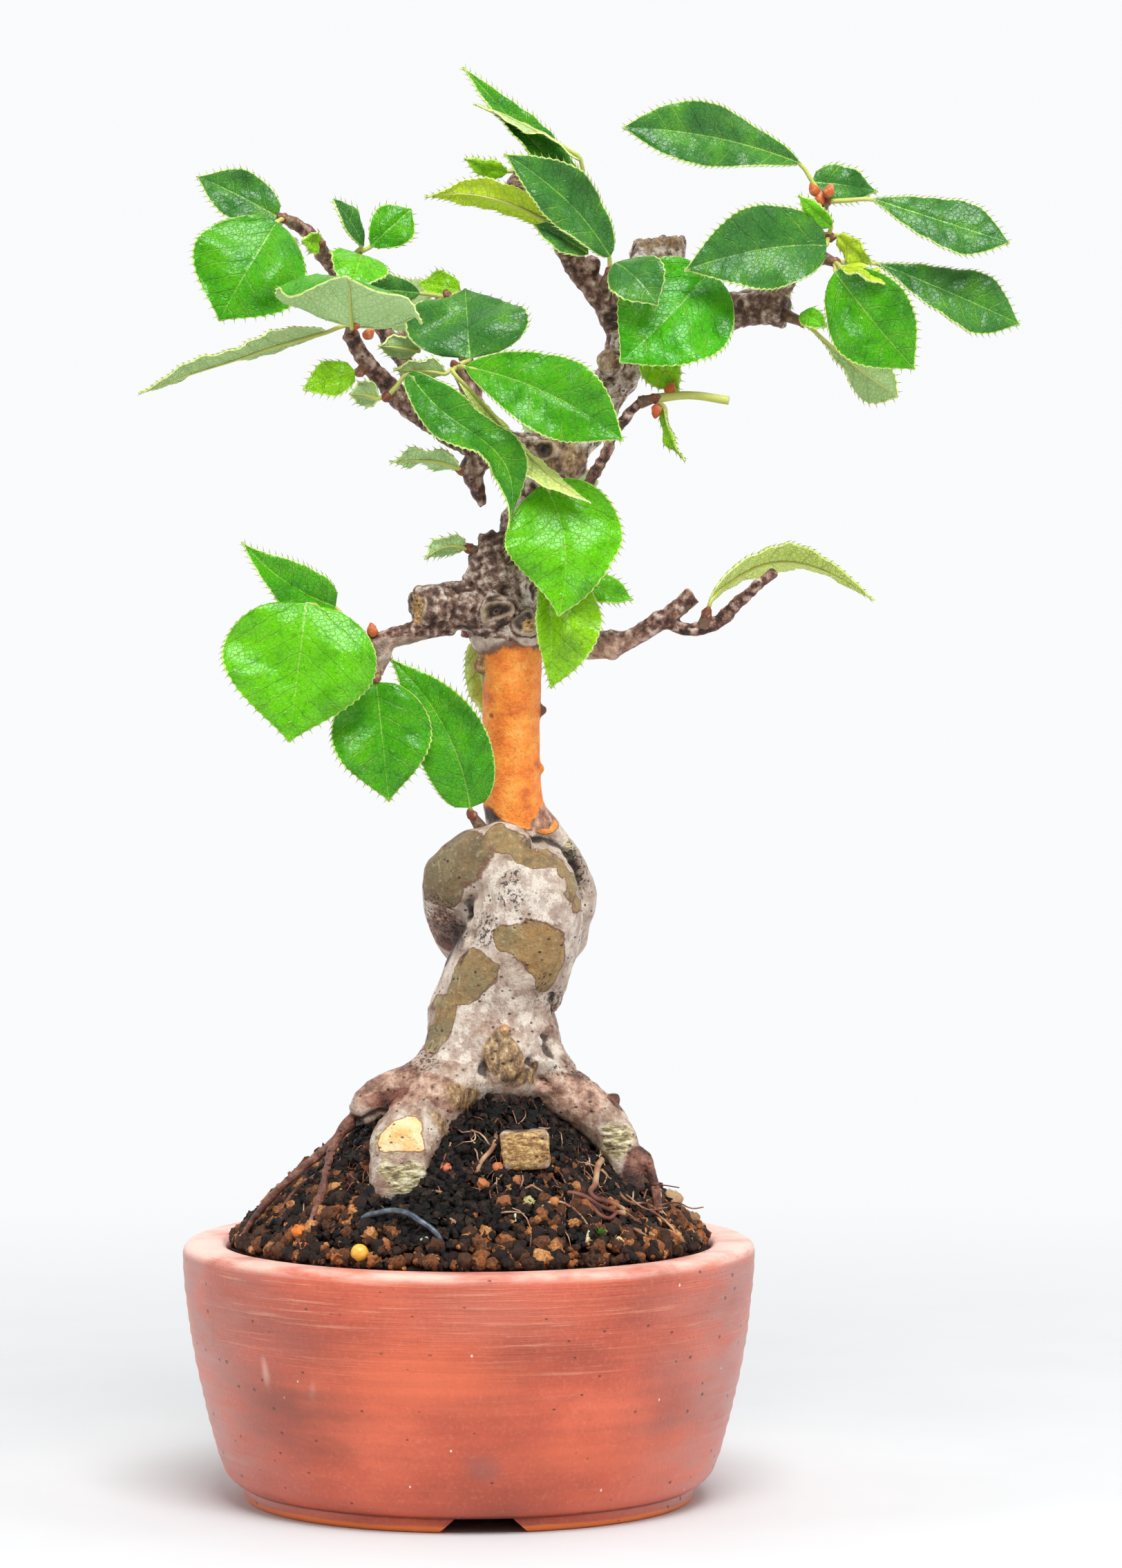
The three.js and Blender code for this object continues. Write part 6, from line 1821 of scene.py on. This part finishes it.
SHOOTS = {
    "apex_back": [(16, 217.6, 2), (18.6, 219.6, 5), [
        leaf_row((21, 223.6, 5), (-1, 247.6, 0), 7, "mid", turn=40, twist=-40, bend=-0.04, fold=20),
        leaf_row((19, 231.4, 0), (0.8, 241, -3), 5, "deep", turn=-98, arch=-0.03, fold=8)]],
    "apex_left": [(9.4, 227, 0.5), (8.6, 229.6, -1.4), [
        leaf_row((6.7, 229.4, -2), (-0.8, 231.8, -3), 3.8, "lime", turn=-30, fold=20)]],
    "apex_low": [(17, 216.2, 2.3), (16.6, 217.4, -1), [
        leaf_row((14.4, 220.6, -1.5), (-7.6, 225.4, -5), 7.4, "yellow", turn=140, bend=-0.09, widest=0.36,
                 under="yellow"),
        leaf_row((20.6, 215.6, -4), (11.2, 220.6, -6), 5.6, "deep", turn=20, arch=0.1, widest=0.5)]],
    "apex_front": [(22.8, 208.8, 4), (24.4, 212.4, -1), [
        leaf_row((24.4, 215, -3), (6.1, 232.7, -9), 10, "deep", turn=18, bend=0.05, fold=18, widest=0.5,
                 wave=0.9),
        leaf_row((25.2, 214, -5), (32.6, 206.6, -11), 10, "deep", turn=-24, arch=0.16, fold=2, widest=0.5)]],
    # The brighter tone of this leaf is painted light against the shadow of the leaf above it.
    "crown_front": [(40, 205.6, 7), (41.6, 210.6, 1.6), [
        leaf_row((41.4, 212.6, 0), (26, 196.8, -9), 21.4, "fresh", turn=8, fold=8, bend=-0.03, widest=0.44)]],
    "crown_right": [(58.6, 218.6, 3), (62, 218.4, 0), [
        leaf_row((61.6, 217, -3), (37.1, 212.6, -7.4), 15, "deep", turn=11, wave=1, bend=0.04, fold=15,
                 warp=0.12),
        leaf_row((63.4, 218.6, -1.5), (69.6, 213.6, -4), 4.6, "yellow", turn=30),
        leaf_row((62.4, 220, -2.5), (56.7, 225.6, -5.5), 3.6, "bright", turn=-20)]],
    "far_right": [(60.2, 222, 2.4), (61.4, 224.4, 0.6), [
        leaf_row((57.1, 231, -1), (26.4, 237.2, -7), 11.2, "deep", turn=10, wave=1.2, bend=0.035, widest=0.6,
                 fold=16, warp=0.2),
        leaf_row((59, 227.8, 3), (70.4, 226.2, 5), 7, "deep", turn=-24, widest=0.36, fold=5),
        leaf_row((69.5, 225, -2), (93.1, 217.4, -3), 10, "deep", turn=-26, arch=0, widest=0.62, fold=4,
                 warp=0.16)]],
    "low_right": [(61, 214.8, 1.4), (63, 214, -1.4), [
        leaf_row((63, 212.4, -5), (76.8, 195.6, -11), 15.6, "green", turn=10, arch=0.08, fold=8, widest=0.5),
        leaf_row((70.2, 214, 0), (94.9, 203.4, 1.4), 11, "deep", turn=-25, arch=0.03, widest=0.66, wave=0.6,
                 fold=4, warp=0.16),
        leaf_row((64.4, 213.4, -7), (71.8, 210.4, -11), 5, "yellow", turn=-62),
        leaf_row((65, 211, 3), (71, 202.6, 21), 12, "green", turn=150)]],
    "right_stub": [(54.4, 205, 5), (57.4, 203.8, 2.6), [
        leaf_row((59.6, 201.6, 1.4), (74, 190.9, -1), 7.4, "green", turn=150, twist=60, widest=0.74),
        leaf_row((57.2, 205.4, 0), (61.6, 203, -4), 4, "bright", turn=-20)]],
    "far_left": [(-29.8, 220.7, 6.2), (-31.8, 221.6, 4), [
        leaf_row((-32.7, 221.8, 4), (-46.8, 228.8, 7), 9, "deep", turn=10, bend=0.01),
        leaf_row((-33, 221, 0), (-43, 204, -7), 20.4, "green", turn=6, fold=6, widest=0.48),
        leaf_row((-33.4, 219, 9), (-39, 211, 25), 12, "green", turn=160)]],
    "left_top": [(-23.6, 213.6, 9.8), (-19.8, 215, 8.4), [
        leaf_row((-18, 216.8, 7), (-23.2, 225, 3), 5.6, "deep", turn=50, fold=10, widest=0.55),
        leaf_row((-16.8, 216.8, 8), (-9.8, 223.2, 10), 8.4, "green", turn=-10, widest=0.55),
        leaf_row((-18.4, 215.4, 5), (-20.6, 208.6, -5), 10.4, "bright", fold=4, arch=0.16)]],
    "left_bright": [(-25.4, 216, 9), (-25.4, 217, 6), [
        leaf_row((-25.4, 217.2, 5), (-28.6, 217.8, 1), 3.8, "lime")]],
    "left_wings": [(-20.4, 201.4, -7), (-20.2, 203.6, -7.6), [
        leaf_row((-20, 203, -9), (-21, 211.8, -25), 25.6, "green", turn=163, fold=2, widest=0.44, wave=1.6,
                 under="dusky"),
        leaf_row((-24.6, 202.4, -8), (-56.9, 191.7, -16), 9.4, "green", turn=112, bend=0.05, arch=0.04)]],
    "left_bright_low": [(-17.4, 196.8, -6.5), (-18.6, 195.4, -8.6), [
        leaf_row((-19.6, 195.4, -9.4), (-28.6, 192.2, -12), 6.4, "lime", turn=18, fold=8)]],
    "behind": [(-2.6, 205.2, 9.2), (-3.6, 208, 10.4), [
        leaf_row((-8.4, 208.8, 9.6), (-21.2, 209.6, 6), 6, "deep", turn=10, widest=0.5),
        leaf_row((-1.4, 209.2, 11), (-8.8, 210.6, 13), 5, "lime", turn=20),
        leaf_row((-6, 205, 14), (-17, 206, 33), 11, "green", turn=170)]],
    "middle": [(-1, 193.8, -2.9), (-2.2, 196, -4.6), [
        leaf_row((0.2, 197.6, -4.6), (-0.6, 209.6, 5), 21, "deep", fold=6, widest=0.4),
        leaf_row((-0.6, 196.2, -9), (26.7, 183.4, -17), 14, "green", turn=-8, fold=8, bend=-0.05, widest=0.56,
                 wave=1),
        leaf_row((-3, 195, -8), (21, 172.4, -12.5), 6.4, "green", turn=118, bend=0.01, sway=0.03, widest=0.6,
                 under="straw"),
        leaf_row((-4, 195.2, -6), (-13, 195.8, -8.4), 5, "deep", turn=130)]],
    "pale_left": [(-11, 200.6, 5), (-9.4, 199.6, 1.6), [
        leaf_row((-8.6, 199, 0.4), (-15.6, 199.8, -2.6), 4.8, "yellow", turn=150)]],
    "branch_left": [(-13, 191.8, -6.4), (-14, 191, -8.4), [
        leaf_row((-10.4, 195, -11), (6.9, 168.2, -15), 8.8, "mid", turn=-24, wave=2.4, bend=-0.12, sway=0.07,
                 twist=-30, fold=16, widest=0.42),
        leaf_row((-15.4, 190.6, -8.6), (-20.6, 191.4, -9), 5, "deep", turn=160, arch=0.3)]],
    "hanging": [(1, 178, 1.6), (-0.8, 178.2, 1), [
        leaf_row((-1.6, 178.8, 0.6), (-13.7, 179.8, -1), 4.6, "green", turn=140, wave=1, bend=-0.06,
                 under="dusky")]],
    "heart": [(12.2, 173.6, 0.8), (12.2, 174.4, -3), [
        leaf_row((13, 176, -7), (15.4, 153.1, -14), 19.8, "bright", turn=6, fold=6, bend=-0.11, widest=0.44,
                 wave=1.5)]],
    "folded": [(10, 164.4, -0.6), (11.4, 164.4, -4), [
        leaf_row((13, 163, -6), (14, 140.6, -8), 12.4, "lime", turn=14, fold=22, bend=-0.04, widest=0.5,
                 lean=0.62),
        leaf_row((18.4, 159.4, -2), (28.4, 156, 1), 5.6, "bright", turn=-20)]],
    "stub_left": [(2.2, 164, 0), (0.2, 164.8, 0), [
        leaf_row((-0.4, 165, 0), (-7.7, 163, -2), 4.2, "bright", turn=150, bend=-0.16, under="dusky")]],
    # The pale straw tone of this leaf is painted light, for the light that shines through it from behind.
    "neck": [(2.4, 152, 5), (-0.2, 150.4, 7.4), [
        leaf_row((1, 149, 8.4), (4, 133.4, 10), 5.2, "straw", turn=24)]],
    "low_left": [(-17, 148.7, -4.4), (-18.9, 149.5, -6.4), [
        leaf_row((-23, 154.8, -6.6), (-39.1, 166, -11), 8.6, "green", turn=18, fold=20, bend=-0.09,
                 widest=0.32),
        leaf_row((-28, 155.4, -12), (-31.1, 131.3, -16), 26.4, "bright", fold=6, widest=0.4)]],
    "low_left_down": [(-16, 143.8, -5.9), (-16, 142.6, -7.6), [
        leaf_row((-16, 141.8, -8.4), (-13.8, 121, -9.6), 17.2, "green", fold=8, wave=1)]],
    "coil": [(2, 116.6, -0.4), (0.6, 118.6, -2), [
        leaf_row((0.2, 120, -3), (-13.8, 146, -4), 12.6, "green", bend=0.09, widest=0.36)]],
    "red_twig": [(29.6, 190, -1.5), (31.8, 190.6, -2.6), [
        leaf_row((33.4, 189, -3.4), (37.2, 179.8, -5), 3, "lime", turn=60, bend=0.1)]],
    "trunk_bright": [(28.8, 201, 2.6), (29.6, 200.8, 0), [
        leaf_row((30.4, 199.6, -0.6), (36.2, 191.6, -0.4), 7, "lime")]],
    "arching": [(40.4, 151.4, -0.2), (41, 153.4, -1.2), [
        leaf_row((41.4, 156, -1.6), (70, 156, 2), 10.6, "yellow", turn=-118, arch=0.34, bend=-0.12,
                 under="straw")]],
    "back_trunk": [(16, 181, 9), (16.6, 181.4, 13), [
        leaf_row((17, 184, 15), (8.6, 190, 34), 13, "green", turn=170),
        leaf_row((16.4, 178, 15), (16, 165, 34), 14, "bright", turn=160)]],
    "back_crown": [(31.4, 210.6, 10), (32, 211, 14), [
        leaf_row((32.6, 207.6, 17), (37, 200.6, 36), 13, "green", turn=160)]],
    "back_right": [(49, 206.4, 9), (49, 207.6, 13), [
        leaf_row((50.6, 210, 15), (57, 214, 33), 12, "deep", turn=180)]],
    "back_knuckle": [(7, 153.4, 8), (8, 154, 12), [
        leaf_row((9.4, 154.4, 14), (17, 148.4, 34), 13, "green", turn=170)]],
}
print("leaves", sum(len(leaves) for _, _, leaves in SHOOTS.values()))

# %% [markdown]
# ### Buds
# One bud is modelled and copied to every shoot. It is a ball drawn out to a point, with low waves
# that wind round it like overlapping scales.

# %% Model one bud
BUD_LENGTH = 2.6
BUD_RADIUS = 1.15
BUD_SUNK = 0.9


def bud_shape():
    """A pointed bud whose scales overlap like tiles."""
    bpy.ops.mesh.primitive_uv_sphere_add(segments=10, ring_count=8, radius=1)
    bud = bpy.context.object
    points = points_of(bud)
    turn = np.arctan2(points[:, 1], points[:, 0])
    height = (points[:, 2] + 1) / 2
    point = 1 - 0.55 * np.clip(height, 0, 1) ** 1.5
    scales = 1 + 0.13 * np.sin(3 * turn + 9 * height) * np.sin(math.pi * height)
    points[:, :2] *= (BUD_RADIUS * point * scales)[:, None]
    points[:, 2] = height * BUD_LENGTH - BUD_SUNK
    move_points(bud, points * MM)
    return taken_shape(bud)


BUD = bud_shape()


def bud_at(heart, direction):
    turn = np.array(direction.to_track_quat("Z", "X").to_matrix())
    return copies("bud", [BUD], [(0, turn, np.array(heart))])


print("points of a bud", len(BUD[0]))

# %% [markdown]
# ### The leaf finishes
# The upper face is a saturated green with a soft gloss. The midrib and the side veins are paler,
# a net of fine veins shows as a low relief, and the margin carries a pale line. A little light
# passes through the blade, so Subsurface warms the green. The underside is a matt grey green.
# The patterns read the millimetres across and along the blade that were painted on its points,
# so they follow every bend.

# %% Finish the two faces of a leaf
def leaf_look(name, rough, gloss, light_through):
    """A finish that lets light through, with its midrib, side veins and fine net of veins."""
    look = Finish(name, Roughness=rough, Specular_IOR_Level=gloss, Subsurface_Weight=light_through,
                  Subsurface_Scale=MM, Subsurface_Radius=(0.5, 1.0, 0.2))
    away = abs(look.attribute("across_mm"))
    phase = (look.attribute("along_mm") - away * VEIN_SLANT) / VEIN_PITCH + look.noise(2.5, 2) * 0.5
    thin = (1.0 - look.attribute("toward_tip")) * 0.08
    rib = (away - thin).mask(0.09, 0.0)
    side = look.math("PINGPONG", phase, 0.5).mask(0.06, 0.015)
    net = look.cells(0.8, feature="DISTANCE_TO_EDGE").mask(0.1, 0.02)
    return look, rib, side, net


def leaf_top():
    look, rib, side, net = leaf_look("leaf_upper_face", 0.33, 0.36, 0.1)
    cloud = look.noise(5, 3)
    leather = look.noise(0.8, 3, rough=0.6)
    look.colour = look.attribute("tone", "Color")
    look.lay(cloud.mask(0.42, 0.75) * 0.25, rgb(124, 200, 8))
    look.lay(cloud.mask(0.5, 0.3) * 0.3, rgb(20, 84, 4))
    look.lay(leather.mask(0.5, 0.28) * 0.35, rgb(18, 78, 6))
    look.lay(side * (cloud.mask(0.35, 0.65) * 0.4), rgb(160, 214, 84))
    look.lay(rib * cloud.mask(0.25, 0.6) * 0.6, rgb(170, 210, 96))
    look.lay(look.cells(3.6).mask(0.06, 0.03) * 0.6, rgb(60, 60, 20))
    look.lay(look.attribute("edge_mm").mask(0.26, 0.08) * 0.85, rgb(214, 232, 132))
    look.set("Roughness", leather.between(0.3, 0.7, 0.17, 0.3))
    look.relief(side, -0.16)
    look.relief(net, -0.08)
    look.relief(leather, 0.13)
    return look.finish()


def leaf_underside():
    look, rib, side, net = leaf_look("leaf_underside", 0.62, 0.3, 0.25)
    look.colour = look.attribute("under_tone", "Color")
    look.lay(net * 0.25, rgb(132, 164, 80))
    look.lay(side * 0.35, rgb(206, 220, 160))
    look.lay(rib * 0.7, rgb(214, 224, 160))
    look.relief(side, 0.16)
    look.relief(net, 0.08)
    return look.finish()


top_look, under_look = leaf_top(), leaf_underside()
print("nodes of the upper face", len(top_look.node_tree.nodes))

# %% Finish the rims, stalks and buds
def leaf_rim():
    look = Finish("leaf_rim", Roughness=0.5, Subsurface_Weight=0.2, Subsurface_Scale=MM)
    look.colour = look.mix(look.noise(3, 2), rgb(206, 226, 110), rgb(236, 242, 176))
    return look.finish()


def spur_finish():
    look = Finish("stalk_and_bud", Roughness=0.5, Specular_IOR_Level=0.4)
    mottle = look.noise(0.9, 3)
    own = look.attribute("tone", "Color")
    look.colour = look.mix(mottle.mask(0.45, 0.75), own, look.mix(0.4, own, rgb(214, 190, 150)))
    look.relief(mottle, 0.14)
    return look.finish()


LEAF_LOOKS = [top_look, under_look, leaf_rim(), spur_finish()]
TOP, UNDERSIDE, RIM, SPUR = range(4)


def use_look(piece, number):
    """Give a part all the leaf finishes and use one of them."""
    piece.data.materials.clear()
    for look in LEAF_LOOKS:
        piece.data.materials.append(look)
    piece.data.polygons.foreach_set("material_index", [number] * len(piece.data.polygons))


def toned(piece, tone_name):
    """Give a stalk, spur, bud or bristle the shared finish and its own tone."""
    use_look(piece, SPUR)
    paint_whole(piece, "tone", LEAF_TONES[tone_name])
    return piece


print("leaf finishes", len(LEAF_LOOKS))

# %% [markdown]
# ### Putting a shoot together
# The blades are given their thickness, the stalks run from the heart of the shoot to the blades,
# and a few buds that have already swollen are orange. All parts of a shoot become one piece, which
# stands for the one solid of that shoot in the frame.

# %% Run a stalk to a blade and on as its midrib
STALK_RADIUS = 0.42
BLADE_THICKNESS = 0.28
RIB_STATIONS = np.linspace(0, 0.96, 9)
RIB_RADII = STALK_RADIUS * (0.86 - 0.76 * RIB_STATIONS)


def stalk_run(leaf, spine, heart):
    """A leaf stalk from the heart to the blade, and on under the blade as its midrib."""
    steps = np.linspace(0, 1, len(spine))
    middle = np.stack([np.interp(RIB_STATIONS, steps, column) for column in spine.T], axis=1)
    face = blade_rows(leaf, RIB_STATIONS)[2]
    under = middle - face * (BLADE_THICKNESS + 0.5 * RIB_RADII)[:, None]
    start = in_mm(heart)
    first = (start + under[0]) / 2 + np.array([0, 0, 0.1])
    radii = [1.15 * STALK_RADIUS, 0.95 * STALK_RADIUS, *RIB_RADII]
    return [(from_mm(spot), radius * MM) for spot, radius in zip([start, first, *under], radii)]


print("a midrib thins in mm from", RIB_RADII[0].round(2), "to", RIB_RADII[-1].round(2))

# %% Put every shoot together
SPUR_RADII = (1.15, 0.95, 0.8)
EMBER_BUDS = {
    "far_right": [(60.4, 224.6, 0, (0, 0, 1)), (61.8, 226, -1, (0.6, -0.2, 1)),
                  (59.6, 226.2, 0, (-0.6, 0, 1))],
    "red_twig": [(32.4, 188.8, -3.4, (-0.2, 0, -1)), (34.6, 192, -2.6, (0.4, 0, 1))],
    "left_wings": [(-19.4, 203.4, -9.4, (0.2, 0, 1)), (-17.4, 201.6, -8, (0.7, -0.3, 0.7))],
    "low_left": [(-16.6, 150.4, -5.6, (-0.2, 0, 1))],
    "folded": [(11.6, 166.6, -3.6, (0.3, -0.4, 0.8))],
}
CUT_STALKS = {"red_twig": [(31.6, 190.6, -2.4, 0.9), (38, 191.2, -3.4, 0.75), (44.8, 190.3, -4.4, 0.8)]}


def shoot(name, seat, heart, leaves, number):
    """All the parts of one shoot, joined and tied to the frame."""
    seat, heart = place(*seat), place(*heart)
    parts, stalks, spots, directions = [], [], [], []
    for index, leaf in enumerate(leaves):
        piece, spine, tips, points_out = blade(leaf, 100 * number + index)
        use_look(piece, TOP)
        modify(piece, "SOLIDIFY", thickness=BLADE_THICKNESS * MM, offset=-1, use_rim=True,
               material_offset=UNDERSIDE, material_offset_rim=RIM)
        parts.append(piece)
        stalks.append(stalk_run(leaf, spine, heart))
        spots.append(tips)
        directions.append(points_out)
    parts.append(toned(bristles(np.concatenate(spots), np.concatenate(directions)), "bristle"))
    parts.append(toned(tubes("stalks", stalks, sides=8, steps=3), "stalk"))
    spur = [(spot, radius * MM) for spot, radius in zip((seat, seat.lerp(heart, 0.55), heart), SPUR_RADII)]
    parts.append(toned(tubes("spur", [spur], sides=10, steps=4), "spur"))
    parts.append(toned(bud_at(heart, heart - seat), "bud"))
    for x, z, depth, direction in EMBER_BUDS.get(name, []):
        parts.append(toned(bud_at(place(x, z, depth), Vector(direction)), "ember"))
    if name in CUT_STALKS:
        parts.append(toned(tubes("cut_stalk", [run_of(CUT_STALKS[name])], sides=10, steps=6), "stalk"))
    piece = joined(parts, f"leaves_{name}")
    dress(piece, None, [f"shoot_{name}"], smooth_below=55)
    return piece


shoots = [shoot(name, *row, number) for number, (name, row) in enumerate(SHOOTS.items())]
print("shoots", len(shoots), "faces", sum(len(piece.data.polygons) for piece in shoots))
